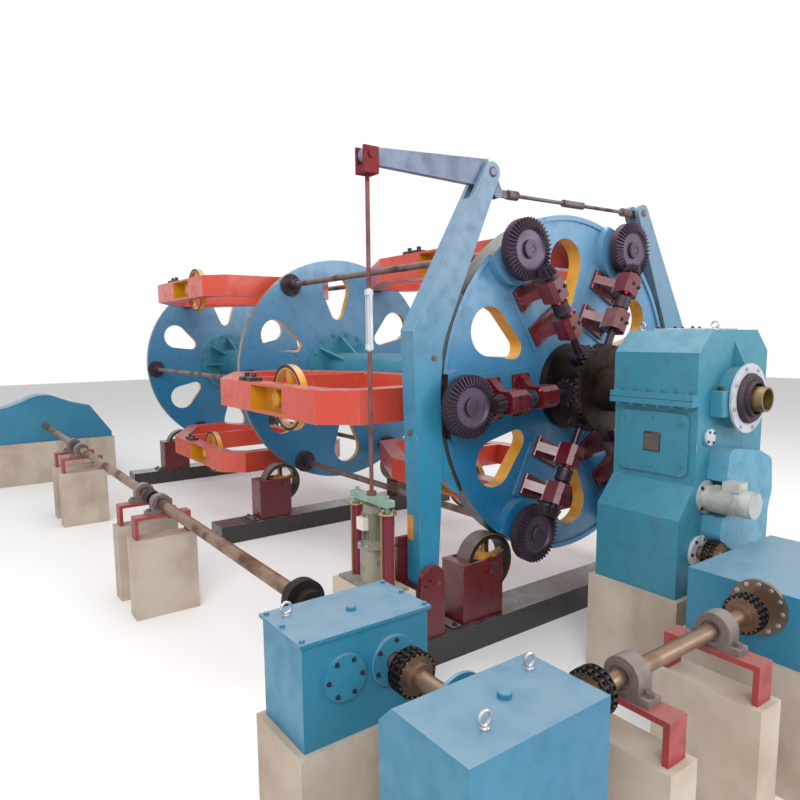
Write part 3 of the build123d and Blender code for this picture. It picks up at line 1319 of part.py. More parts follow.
def make_pull_rod(arm_tip):
    """Pull rod from the bell crank's long arm, with its clevis and turnbuckle."""
    y, z = arm_tip
    base_z = AXIS_HEIGHT + z
    down = Vector(0, 0, -1)
    inner = ARM_THICKNESS + 2 * FORK_GAP
    outer = inner + 2 * CLEVIS_WALL
    low_z = base_z - CLEVIS_DROP
    top_z = base_z + ARM_TIP_HALF
    with BuildPart() as rod:
        block((LEVER_X - outer / 2, y - CLEVIS_HALF, low_z), (LEVER_X + outer / 2, y + CLEVIS_HALF, top_z))
        with BuildSketch(Plane(origin=(LEVER_X - inner / 2, y, base_z), x_dir=(0, 1, 0), z_dir=(1, 0, 0))):
            with Locations((0, (top_z - low_z) / 2)):
                Rectangle(4 * CLEVIS_HALF, top_z - low_z + 2 * CLEVIS_ROOM)
        extrude(amount=inner, mode=Mode.SUBTRACT)
        pin_start = Vector(LEVER_X - outer / 2 - PIN_TAIL, y, base_z)
        bar(pin_start, Vector(1, 0, 0), outer + 2 * PIN_TAIL, PIN_RADIUS)
        bar(Vector(LEVER_X, y, low_z + JOINT_OVERLAP), down, low_z - PULL_ROD_END_Z, PULL_ROD_RADIUS)
        for z_end in TURNBUCKLE_ZS:
            bar(Vector(LEVER_X, y, z_end + TURNBUCKLE_END), down, 2 * TURNBUCKLE_END, TURNBUCKLE_RADIUS)
        for side in (-1, 1):
            strap = LEVER_X + side * (TURNBUCKLE_RADIUS - TURNBUCKLE_STRAP / 2)
            block(
                (strap - TURNBUCKLE_STRAP / 2, y - TURNBUCKLE_STRAP, TURNBUCKLE_ZS[0]),
                (strap + TURNBUCKLE_STRAP / 2, y + TURNBUCKLE_STRAP, TURNBUCKLE_ZS[1]),
            )
        bar(Vector(LEVER_X, y, CROSSHEAD_TOP + PLAY), Vector(0, 0, 1), NUT_HEIGHT, NUT_RADIUS)
    save(rod, "pull_rod")


def make_crosshead():
    """Crosshead bar over the thruster, with the rods that run down into the spring pots."""
    low_z = CROSSHEAD_TOP - CROSSHEAD_HEIGHT
    with BuildPart() as crosshead:
        block(
            (LEVER_X - CROSSHEAD_LENGTH / 2, ARM_END_Y - CROSSHEAD_HALF_WIDTH, low_z),
            (LEVER_X + CROSSHEAD_LENGTH / 2, ARM_END_Y + CROSSHEAD_HALF_WIDTH, CROSSHEAD_TOP),
        )
        with BuildSketch(Plane(origin=(LEVER_X, ARM_END_Y, low_z), z_dir=(0, 0, 1))):
            Circle(PULL_ROD_RADIUS + OPEN_PIVOT_GAP)
        extrude(amount=CROSSHEAD_HEIGHT, mode=Mode.SUBTRACT)
        for side in (-1, 1):
            top = Vector(LEVER_X + side * POT_SPACING / 2, ARM_END_Y, CROSSHEAD_TOP + NUT_HEIGHT)
            bar(top, Vector(0, 0, -1), CROSSHEAD_ROD_LENGTH, CROSSHEAD_ROD_RADIUS)
    save(crosshead, "crosshead")


def make_thruster():
    """Brake thruster standing between two spring pots on one base plate."""
    up = Vector(0, 0, 1)
    base = GROUND_LEVEL + BASE_PLATE
    centre = Vector(LEVER_X, ARM_END_Y, base)
    half = POT_SPACING / 2 + POT_RADIUS + BASE_MARGIN
    with BuildPart() as thruster:
        block(
            (LEVER_X - half, ARM_END_Y - BASE_HALF_WIDTH, GROUND_LEVEL),
            (LEVER_X + half, ARM_END_Y + BASE_HALF_WIDTH, base),
        )
        bar(centre, up, THRUSTER_FLANGE_Z - base, THRUSTER_RADIUS)
        flange = Vector(LEVER_X, ARM_END_Y, THRUSTER_FLANGE_Z)
        bar(flange, up, THRUSTER_FLANGE_THICKNESS, THRUSTER_FLANGE_RADIUS)
        bar(flange, up, THRUSTER_TOP_Z - THRUSTER_FLANGE_Z, THRUSTER_MOTOR_RADIUS)
        box_y = ARM_END_Y - THRUSTER_MOTOR_RADIUS - TERMINAL_BOX_REACH
        block(
            (LEVER_X - TERMINAL_BOX_HALF, box_y, TERMINAL_BOX_Z),
            (LEVER_X + TERMINAL_BOX_HALF, ARM_END_Y, TERMINAL_BOX_Z + 2 * TERMINAL_BOX_HALF),
        )
        for side in (-1, 1):
            pot = Vector(LEVER_X + side * POT_SPACING / 2, ARM_END_Y, base)
            bar(pot, up, POT_TOP_Z - base, POT_RADIUS)
            with BuildSketch(Plane(origin=pot + up * (POT_TOP_Z - base), x_dir=(1, 0, 0), z_dir=(0, 0, -1))):
                Circle(CROSSHEAD_ROD_RADIUS + RUNNING_FIT)
            extrude(amount=POT_BORE_DEPTH, mode=Mode.SUBTRACT)
    save(thruster, "thruster")


def make_brake_brackets():
    """Lower bearings of both brake levers: a round-topped plate in front, a tall one behind."""
    front_x = LEVER_X + LEVER_THICKNESS / 2 + BRACKET_PLAY
    rear_x = LEVER_X - LEVER_THICKNESS / 2 - BRACKET_PLAY - BRACKET_PLATE
    foot = BEAM_HEIGHT - AXIS_HEIGHT
    with BuildPart() as brackets:
        for side in (-1, 1):
            pin = (side * LEVER_PIN_Y, LEVER_PIN_Z)
            with BuildSketch(axis_plane(front_x)):
                with Locations(pin):
                    Circle(BRACKET_ROUND_RADIUS)
                Polygon(
                    (pin[0] - BRACKET_ROUND_RADIUS, pin[1]),
                    (pin[0] + BRACKET_ROUND_RADIUS, pin[1]),
                    (pin[0] + BRACKET_ROUND_RADIUS, foot),
                    (pin[0] - BRACKET_ROUND_RADIUS, foot),
                    align=None,
                )
            extrude(amount=BRACKET_PLATE)
            with BuildSketch(axis_plane(rear_x)):
                Polygon(
                    (side * TALL_PLATE_OUTER, foot),
                    (side * TALL_PLATE_TOP_OUTER, TALL_PLATE_TOP),
                    (side * TALL_PLATE_TOP_INNER, TALL_PLATE_TOP),
                    (side * TALL_PLATE_INNER, foot),
                    align=None,
                )
            extrude(amount=BRACKET_PLATE)
            with BuildSketch(axis_plane(rear_x, *pin)):
                Circle(PIN_RADIUS)
            extrude(amount=front_x + BRACKET_PLATE + PIN_TAIL - rear_x)
    save(brackets, "lever_brackets")


def footprint(x_range, y_range):
    """Low and high corner, seen from above, of a block that reaches a margin past a piece."""
    low = (x_range[0] - BLOCK_MARGIN, y_range[0] - BLOCK_MARGIN)
    high = (x_range[1] + BLOCK_MARGIN, y_range[1] + BLOCK_MARGIN)
    return low, high


def around(middle, half):
    """Range that reaches as far on both sides of a middle."""
    return middle - half, middle + half


def make_foundations():
    """Concrete blocks that carry the ground-level pieces down to the floor."""
    rear_half = -REAR_BOX_OUTLINE[0][0]
    footprints = [
        footprint((GEARBOX_REAR_X, GEARBOX_FRONT_X), around(0, BODY_HALF_WIDTH)),
        footprint(BEVEL_BOX_X, BEVEL_BOX_Y),
        footprint(CORNER_BOX_X, CORNER_BOX_Y),
        footprint(TRANSFER_BOX_X, TRANSFER_BOX_Y),
        footprint(REAR_BOX_X, around(LINE_SHAFT_Y, rear_half)),
    ]
    for x in LINE_STAND_XS:
        stand_y = around(LINE_SHAFT_Y, STAND_HALF_WIDTH)
        footprints.append(footprint(around(x, STAND_DEPTH / 2), stand_y))
    for y in CROSS_STAND_YS:
        stand_x = around(CROSS_SHAFT_X, STAND_HALF_WIDTH)
        footprints.append(footprint(stand_x, around(y, STAND_DEPTH / 2)))
    half = POT_SPACING / 2 + POT_RADIUS + BASE_MARGIN
    footprints.append(footprint(around(LEVER_X, half), around(ARM_END_Y, BASE_HALF_WIDTH)))
    with BuildPart() as foundations:
        for low, high in footprints:
            block((low[0], low[1], 0), (high[0], high[1], GROUND_LEVEL))
    save(foundations, "foundation_blocks")


os.makedirs("parts", exist_ok=True)
for disc_name, disc_x, disc_thickness in DISCS:
    make_disc(disc_name, disc_x, disc_thickness)
make_tube()
make_main_shaft()
make_spindle_bearings()
big_gear = make_spindle_gear()
outer_bevel = make_pinion(gear_pinion_radius(), GEAR_PITCH_RADIUS, GEAR_FACE)
inner_bevel = make_pinion(sun_pinion_radius(), SUN_PITCH_RADIUS, SUN_FACE)
for spindle_number in range(SPINDLES):
    make_spindle(spindle_number, big_gear)
    make_cradle(spindle_number)
    make_pinion_shaft(spindle_number, outer_bevel, inner_bevel)
make_pinion_brackets()
make_sun_gear()
make_gearbox()
make_guard_and_motor()
make_stands()
make_drive_shafts()
make_drive_boxes()
make_rollers()
make_lever(-1, "left", LEFT_TOP_Z)
make_lever(1, "right", RIGHT_TOP_Z)
make_brake_links()
make_thruster()
make_brake_brackets()
make_foundations()
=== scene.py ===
"""Cage cabling machine: finishes, fittings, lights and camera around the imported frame, in metres."""

import logging
import math
from dataclasses import dataclass, field, replace
from enum import Enum
from typing import Mapping, Optional, Sequence, Union

import bmesh
import bpy
from mathutils import Matrix, Vector


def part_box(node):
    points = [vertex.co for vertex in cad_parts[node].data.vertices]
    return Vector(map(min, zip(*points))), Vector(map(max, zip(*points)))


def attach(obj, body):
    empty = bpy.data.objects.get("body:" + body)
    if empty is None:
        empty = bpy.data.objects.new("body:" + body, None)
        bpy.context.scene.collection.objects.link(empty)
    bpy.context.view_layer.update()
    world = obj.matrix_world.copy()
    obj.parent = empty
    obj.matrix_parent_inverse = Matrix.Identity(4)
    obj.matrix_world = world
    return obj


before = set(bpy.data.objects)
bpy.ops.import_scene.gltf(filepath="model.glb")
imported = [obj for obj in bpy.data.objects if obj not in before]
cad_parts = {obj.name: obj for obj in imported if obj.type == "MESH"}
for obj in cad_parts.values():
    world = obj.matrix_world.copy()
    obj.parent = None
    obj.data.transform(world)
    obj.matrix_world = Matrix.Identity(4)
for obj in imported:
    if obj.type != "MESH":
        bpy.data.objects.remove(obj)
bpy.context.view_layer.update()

LOG = logging.getLogger("machine")
Colour = tuple[int, int, int]
Point = tuple[float, float, float]
Profile = Sequence[tuple[float, float]]
Value = Union[float, Sequence[float], bpy.types.NodeSocket]
Sockets = Mapping[Union[str, int], object]

AXIS_HEIGHT = 1.775
DRIVE_HEIGHT = 0.875
PITCH_RADIUS = 1.14
TRAIN_X = -0.745
SPINDLES = 6
CAGE_TURN = math.radians(3.46)
X_AXIS = Vector((1, 0, 0))
Y_AXIS = Vector((0, 1, 0))
Z_AXIS = Vector((0, 0, 1))
SMOOTH_ANGLE = math.radians(35)
SLIVER = 0.0008


def linear(colour: Colour) -> tuple[float, ...]:
    """Turn a screen colour into linear light.

    Args:
        colour: Red, green and blue from 0 to 255.

    Returns:
        The linear colour with full alpha.
    """
    shares = [level / 255 for level in colour]
    return *(s / 12.92 if s <= 0.04045 else ((s + 0.055) / 1.055) ** 2.4 for s in shares), 1.0


class NodeTree:
    """Node tree with short calls that add nodes and fill their inputs."""

    def __init__(self, tree: bpy.types.NodeTree) -> None:
        """Take hold of a tree.

        Args:
            tree: Blender's tree.
        """
        self.nodes = tree.nodes
        self.links = tree.links

    def fill(self, socket: bpy.types.NodeSocket, value: object) -> None:
        """Fill or link an input.

        Args:
            socket: The input.
            value: Value or source socket.
        """
        if isinstance(value, bpy.types.NodeSocket):
            self.links.new(value, socket)
        else:
            socket.default_value = value

    def add(self, kind: str, sockets: Sockets, **settings: object) -> bpy.types.Node:
        """Add a node and fill or link its inputs.

        Args:
            kind: Blender's name of the node type.
            sockets: Value or source socket for each input.
            **settings: Properties of the node.

        Returns:
            The new node.
        """
        node = self.nodes.new(kind)
        for key, setting in settings.items():
            setattr(node, key, setting)
        for key, value in sockets.items():
            self.fill(node.inputs[key], value)
        return node


class ShaderTree(NodeTree):
    """Node tree of one material, with short calls for the nodes that the finishes share."""

    def __init__(self, name: str) -> None:
        """Start a material.

        Args:
            name: Name of the material.
        """
        self.material = bpy.data.materials.new(name)
        self.material.use_nodes = True
        super().__init__(self.material.node_tree)
        self.surface = self.nodes["Principled BSDF"]
        texture = self.nodes.new("ShaderNodeTexCoord")
        self.position = texture.outputs["Object"]
        self.normal = texture.outputs["Normal"]

    def math(self, operation: str, first: Value, second: Value = 0.0) -> bpy.types.NodeSocket:
        """Add a Math node.

        Args:
            operation: Name of the operation.
            first: First operand.
            second: Second operand.

        Returns:
            The result's socket.
        """
        return self.add("ShaderNodeMath", {0: first, 1: second}, operation=operation).outputs[0]

    def vector(self, operation: str, first: Value, second: Value = (0, 0, 0)) -> bpy.types.NodeSocket:
        """Add a Vector Math node.

        Args:
            operation: Name of the operation.
            first: First vector.
            second: Second vector.

        Returns:
            The result's socket, a number for lengths and dot products.
        """
        node = self.add("ShaderNodeVectorMath", {0: first, 1: second}, operation=operation)
        return node.outputs["Value" if operation in ("DOT_PRODUCT", "LENGTH") else "Vector"]

    def noise(self, scale: float, detail: float, stretch: Point = (1, 1, 1)) -> bpy.types.NodeSocket:
        """Add a noise pattern on object coordinates.

        Args:
            scale: Patches in a metre.
            detail: Number of finer layers.
            stretch: Factor on each axis before the pattern is read.

        Returns:
            The pattern's socket, about 0.5 in the middle.
        """
        sockets = {"Vector": self.vector("MULTIPLY", self.position, stretch), "Scale": scale,
                   "Detail": detail}
        return self.add("ShaderNodeTexNoise", sockets).outputs["Fac"]

    def ramp(self, source: Value, low: float, high: float) -> bpy.types.NodeSocket:
        """Turn a pattern into a smooth mask.

        Args:
            source: Pattern.
            low: Level that becomes 0.
            high: Level that becomes 1.

        Returns:
            The mask's socket.
        """
        sockets = {"Value": source, "From Min": low, "From Max": high}
        return self.add("ShaderNodeMapRange", sockets, interpolation_type="SMOOTHSTEP").outputs[0]

    def mix(self, share: Value, first: Union[Colour, bpy.types.NodeSocket],
            second: Union[Colour, bpy.types.NodeSocket]) -> bpy.types.NodeSocket:
        """Mix two colours.

        Args:
            share: Share of the second colour.
            first: First colour.
            second: Second colour.

        Returns:
            The mixed colour's socket.
        """
        ends = [linear(end) if isinstance(end, tuple) else end for end in (first, second)]
        return self.add("ShaderNodeMix", {0: share, 6: ends[0], 7: ends[1]}, data_type="RGBA").outputs[2]

    def blend(self, share: Value, first: float, second: float) -> bpy.types.NodeSocket:
        """Mix two numbers.

        Args:
            share: Share of the second number.
            first: First number.
            second: Second number.

        Returns:
            The mixed number's socket.
        """
        return self.add("ShaderNodeMix", {0: share, 2: first, 3: second}, data_type="FLOAT").outputs[0]

    def facing(self, direction: Vector) -> bpy.types.NodeSocket:
        """Measure how much the surface faces a direction.

        Args:
            direction: Unit direction.

        Returns:
            The cosine's socket.
        """
        return self.vector("DOT_PRODUCT", self.normal, tuple(direction))

    def edge_wear(self, width: float) -> bpy.types.NodeSocket:
        """Find outer edges, where paint rubs off.

        Args:
            width: Width of the worn strip.

        Returns:
            A mask that is 1 on sharp edges.
        """
        rounded = self.add("ShaderNodeBevel", {"Radius": width}, samples=4).outputs[0]
        true_normal = self.nodes.new("ShaderNodeNewGeometry").outputs["True Normal"]
        return self.ramp(self.vector("DOT_PRODUCT", rounded, true_normal), 0.985, 0.86)

    def bump(self, height: Value, strength: float, distance: float) -> None:
        """Give the surface a relief.

        Args:
            height: Height pattern.
            strength: Strength from 0 to 1.
            distance: Depth of the relief.
        """
        sockets = {"Height": height, "Strength": strength, "Distance": distance}
        self.set("Normal", self.add("ShaderNodeBump", sockets).outputs[0])

    def set(self, name: str, value: Value) -> None:
        """Fill or link an input of the surface shader.

        Args:
            name: Name of the input.
            value: Value or source socket.
        """
        self.fill(self.surface.inputs[name], value)


class Facing(Enum):
    """Which faces of a ring zone take its colour."""

    ANY = "any"
    WALL = "wall"
    FACE = "face"


@dataclass(frozen=True)
class BoxZone:
    """Part of a piece inside a box that has another colour."""

    low: Point
    high: Point
    colour: Colour

    def mask(self, tree: ShaderTree) -> bpy.types.NodeSocket:
        """Build the zone's mask.

        Args:
            tree: Material's node tree.

        Returns:
            A mask that is 1 inside the box.
        """
        middle = tuple((a + b) / 2 for a, b in zip(self.low, self.high))
        half = tuple((b - a) / 2 for a, b in zip(self.low, self.high))
        offset = tree.vector("ABSOLUTE", tree.vector("SUBTRACT", tree.position, middle))
        beyond = tree.vector("SUBTRACT", offset, half)
        parts = tree.add("ShaderNodeSeparateXYZ", {0: beyond}).outputs
        worst = tree.math("MAXIMUM", tree.math("MAXIMUM", parts[0], parts[1]), parts[2])
        return tree.math("LESS_THAN", worst, 0.0)


@dataclass(frozen=True)
class RingZone:
    """Part of a round piece, between two radii and two places along X, that has another colour."""

    inner: float
    outer: float
    start: float
    end: float
    colour: Colour
    faces: Facing = Facing.ANY
    centre: Point = (0.0, 0.0, AXIS_HEIGHT)

    def mask(self, tree: ShaderTree) -> bpy.types.NodeSocket:
        """Build the zone's mask.

        Args:
            tree: Material's node tree.

        Returns:
            A mask that is 1 in the ring.
        """
        offset = tree.vector("SUBTRACT", tree.position, self.centre)
        along = tree.vector("DOT_PRODUCT", offset, tuple(X_AXIS))
        radius = tree.vector("LENGTH", tree.vector("MULTIPLY", offset, (0, 1, 1)))
        limits = [("GREATER_THAN", radius, self.inner), ("LESS_THAN", radius, self.outer),
                  ("GREATER_THAN", along, self.start), ("LESS_THAN", along, self.end)]
        if self.faces is not Facing.ANY:
            turn = tree.math("ABSOLUTE", tree.facing(X_AXIS))
            limits.append(("LESS_THAN" if self.faces is Facing.WALL else "GREATER_THAN", turn, 0.5))
        mask = tree.math(*limits[0])
        for limit in limits[1:]:
            mask = tree.math("MULTIPLY", mask, tree.math(*limit))
        return mask


Zone = Union[BoxZone, RingZone]


@dataclass(frozen=True)
class Paint:
    """Machine paint with fading, dust, chips and a fine grain, a painted highlight that pales it towards
    the top, and a pale colour on upward faces that is settled dust and also painted top light where it is
    a tint of the paint.
    """

    name: str
    colour: Colour
    faded: Colour
    slot: str = ""
    chip: Colour = (196, 190, 176)
    grime: Colour = (58, 50, 46)
    roughness: float = 0.38
    chips: float = 0.3
    wear: float = 0.0
    # Pale colour on upward faces and its share: settled dust, and painted top light where the colour is a
    # pale tint of the paint.
    dust_and_top_light_share: float = 0.3
    dust_and_top_light: Colour = (140, 138, 132)
    dirt: float = 0.25
    grain: float = 0.25
    coat: float = 0.15
    # Painted highlight: colour that the paint turns to with height, standing in for light from above.
    painted_top_light: Optional[Colour] = None
    high_start: float = 1.0
    high_end: float = 2.6
    zones: tuple[Zone, ...] = ()

    def build(self) -> bpy.types.Material:
        """Build the material.

        Returns:
            The finished material.
        """
        tree = ShaderTree(self.name)
        cloud = tree.noise(1.3, 5.0)
        mottle = tree.noise(11.0, 6.0)
        grain = tree.noise(240.0, 2.0)
        flakes = tree.noise(16.0, 7.0, (1, 1, 0.6))
        colour = tree.mix(tree.ramp(cloud, 0.25, 0.8), self.colour, self.faded)
        # Painted highlight: the colour pales with height, as if lit from above.
        if self.painted_top_light is not None:
            height = tree.add("ShaderNodeSeparateXYZ", {0: tree.position}).outputs[2]
            rise = tree.ramp(height, self.high_start, self.high_end)
            colour = tree.mix(rise, colour, self.painted_top_light)
        for zone in self.zones:
            colour = tree.mix(zone.mask(tree), colour, zone.colour)
        shade = tree.math("MULTIPLY", tree.ramp(mottle, 0.45, 0.75), self.dirt)
        colour = tree.mix(shade, colour, self.grime)
        # Upward faces turn pale: settled dust, and painted top light where the colour is a pale tint of
        # the paint.
        top = tree.math("MULTIPLY", tree.ramp(tree.facing(Z_AXIS), 0.6, 0.98), self.dust_and_top_light_share)
        dust_and_top_light = tree.math("MULTIPLY", top, tree.blend(tree.ramp(mottle, 0.3, 0.7), 0.7, 1.0))
        colour = tree.mix(dust_and_top_light, colour, self.dust_and_top_light)
        spread = 0.12 * self.chips
        bare = tree.ramp(flakes, 0.80 - spread, 0.83 - spread)
        if self.wear > 0:
            patches = tree.ramp(mottle, 0.62 - 0.3 * self.wear, 0.66)
            bare = tree.math("MAXIMUM", bare, tree.math("MULTIPLY", tree.edge_wear(0.006), patches))
        tree.set("Base Color", tree.mix(bare, colour, self.chip))
        uneven = tree.ramp(mottle, 0.35, 0.7)
        tree.set("Roughness", tree.blend(uneven, self.roughness, self.roughness + 0.2))
        tree.set("Coat Weight", self.coat)
        tree.set("Coat Roughness", 0.25)
        relief = tree.math("SUBTRACT", grain, tree.math("MULTIPLY", bare, 1.5))
        tree.bump(relief, self.grain, 0.0008)
        return tree.material


@dataclass(frozen=True)
class Metal:
    """Bare metal with turning marks, oil stains and rust."""

    name: str
    colour: Colour
    stain: Colour
    slot: str = ""
    rust: float = 0.2
    roughness: float = 0.35
    metallic: float = 0.85
    grain: float = 0.2
    zones: tuple[Zone, ...] = ()

    def build(self) -> bpy.types.Material:
        """Build the material.

        Returns:
            The finished material.
        """
        tree = ShaderTree(self.name)
        blot = tree.noise(6.0, 7.0)
        marks = tree.noise(9.0, 3.0, (40.0, 1.0, 1.0))
        stained = tree.ramp(blot, 0.62 - 0.3 * self.rust, 0.8 - 0.2 * self.rust)
        colour = tree.mix(stained, self.colour, self.stain)
        for zone in self.zones:
            colour = tree.mix(zone.mask(tree), colour, zone.colour)
        tree.set("Base Color", colour)
        tree.set("Metallic", self.metallic)
        uneven = tree.ramp(blot, 0.35, 0.7)
        tree.set("Roughness", tree.blend(uneven, self.roughness, self.roughness + 0.25))
        tree.bump(marks, self.grain, 0.0006)
        return tree.material


@dataclass(frozen=True)
class Concrete:
    """Cast concrete with form marks and stains."""

    name: str
    colour: Colour
    stain: Colour
    streak: Colour

    def build(self) -> bpy.types.Material:
        """Build the material.

        Returns:
            The finished material.
        """
        tree = ShaderTree(self.name)
        blot = tree.noise(2.2, 8.0)
        streaks = tree.noise(4.0, 5.0, (1.0, 1.0, 0.2))
        colour = tree.mix(tree.ramp(blot, 0.35, 0.7), self.colour, self.stain)
        shade = tree.math("MULTIPLY", tree.ramp(streaks, 0.5, 0.75), 0.4)
        tree.set("Base Color", tree.mix(shade, colour, self.streak))
        tree.set("Roughness", 0.9)
        tree.bump(tree.noise(60.0, 8.0), 0.5, 0.003)
        return tree.material


Finish = Union[Paint, Metal, Concrete]


class FinishShop:
    """Keeps each finish's material, so that it is built once."""

    def __init__(self) -> None:
        """Start with no materials."""
        self.made: dict[str, bpy.types.Material] = {}

    def material(self, finish: Finish) -> bpy.types.Material:
        """Give the material of a finish.

        Args:
            finish: Finish to look up or build.

        Returns:
            Its material.
        """
        if finish.name not in self.made:
            self.made[finish.name] = finish.build()
        return self.made[finish.name]

    def dress(self, node: str, finish: Finish) -> None:
        """Put a finish on a piece of the frame.

        Args:
            node: Name of the piece.
            finish: Its finish.
        """
        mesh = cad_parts[node].data
        mesh.materials.clear()
        mesh.materials.append(self.material(finish))
        LOG.info("dressed %s with %s", node, finish.name)


SHOP = FinishShop()

# The pale blue colour on the upward faces of the teal and drive box paints is painted top light as well as
# dust.
TEAL = Paint("teal gearbox paint", (40, 120, 144), (60, 132, 152), "teal_paint", chips=0.2,
             grain=0.55, dirt=0.14, dust_and_top_light=(128, 150, 162))
BOX_BLUE = Paint("drive box paint", (26, 108, 142), (48, 124, 152), "teal_paint", chips=0.2,
                 grain=0.4, dust_and_top_light_share=0.7, dirt=0.12, dust_and_top_light=(128, 150, 164))
TUBE_TEAL = Paint("tube paint", (40, 120, 146), (62, 136, 158), "teal_paint", chips=0.2)
MAROON = Paint("maroon paint", (92, 10, 24), (104, 20, 32), "maroon_paint", roughness=0.22,
               coat=0.5, wear=0.4, dust_and_top_light_share=0.12, chip=(170, 118, 110), grain=0.1)
SILVER = Paint("motor paint", (168, 172, 168), (186, 188, 182), "silver_paint", roughness=0.4,
               dirt=0.35, grain=0.3)
PALE_PLATE = Paint("pale cover plate", (178, 182, 190), (196, 196, 200), "silver_paint",
                   roughness=0.4, dirt=0.25)
BLACK_BEAM = Paint("black beam paint", (34, 32, 34), (62, 56, 52), "dark_steel",
                   chip=(120, 110, 100), dust_and_top_light_share=0.5, chips=0.6, roughness=0.6)
GREEN = Paint("crosshead paint", (106, 152, 132), (150, 178, 158), chips=1.2, wear=0.8, dirt=0.4)
YELLOW = Paint("yellow paint", (212, 150, 22), (222, 164, 48), "orange_paint", dirt=0.3)
RED_CAP = Paint("red cap", (196, 22, 30), (206, 40, 40), "red_paint", roughness=0.25, chips=0.0,
                dirt=0.1)
DARK_IRON = Metal("dark iron", (66, 54, 62), (40, 32, 34), "dark_steel", roughness=0.42,
                  metallic=0.6)
GEAR_STEEL = Metal("oiled gear steel", (58, 46, 56), (32, 26, 32), roughness=0.36, metallic=0.6,
                   rust=0.35)
WEB_STEEL = Metal("gear web steel", (80, 68, 84), (50, 40, 50), "dark_steel", roughness=0.4,
                  metallic=0.6)
BRONZE = Metal("oiled bronze", (78, 62, 52), (40, 31, 27), roughness=0.34, rust=0.5)
SHAFT_STEEL = Metal("shaft steel", (142, 118, 100), (98, 70, 56), roughness=0.38, rust=0.5)
BRIGHT_STEEL = Metal("bright steel", (190, 190, 196), (130, 122, 120), "bare_steel",
                     roughness=0.26)
CAST_GREY = Metal("cast bearing iron", (116, 102, 98), (84, 66, 60), "bare_steel", roughness=0.6,
                  metallic=0.35, grain=0.5)
CHAIN_BLACK = Metal("chain steel", (46, 40, 42), (26, 22, 22), "dark_steel", roughness=0.3,
                    metallic=0.8)
ROLLER_PIN = Metal("chain pin", (176, 156, 120), (110, 90, 66), "bare_steel", roughness=0.28,
                   metallic=0.9)
FOUNDATION = Concrete("foundation concrete", (190, 178, 164), (166, 150, 134), (112, 98, 86))


def across(axis: Vector) -> tuple[Vector, Vector]:
    """Find two directions across an axis.

    Args:
        axis: Unit axis.

    Returns:
        Two unit vectors at right angles to it and to each other.
    """
    side = axis.cross(Z_AXIS)
    if side.length < 0.1:
        side = X_AXIS.copy()
    side.normalize()
    return side, axis.cross(side).normalized()


def ring_points(centre: Vector, side: Vector, up: Vector, radius: float, count: int,
                turn: float = 0.0) -> list[Vector]:
    """Give evenly spaced points round a circle.

    Args:
        centre: Middle of the circle.
        side: Unit vector in the circle's plane, where the first point lies.
        up: Unit vector in the plane, at right angles to the other.
        radius: Radius of the circle.
        count: Number of points.
        turn: Angle of the first point, in radians.

    Returns:
        The points.
    """
    angles = [turn + 2 * math.pi * number / count for number in range(count)]
    return [centre + (side * math.cos(angle) + up * math.sin(angle)) * radius for angle in angles]


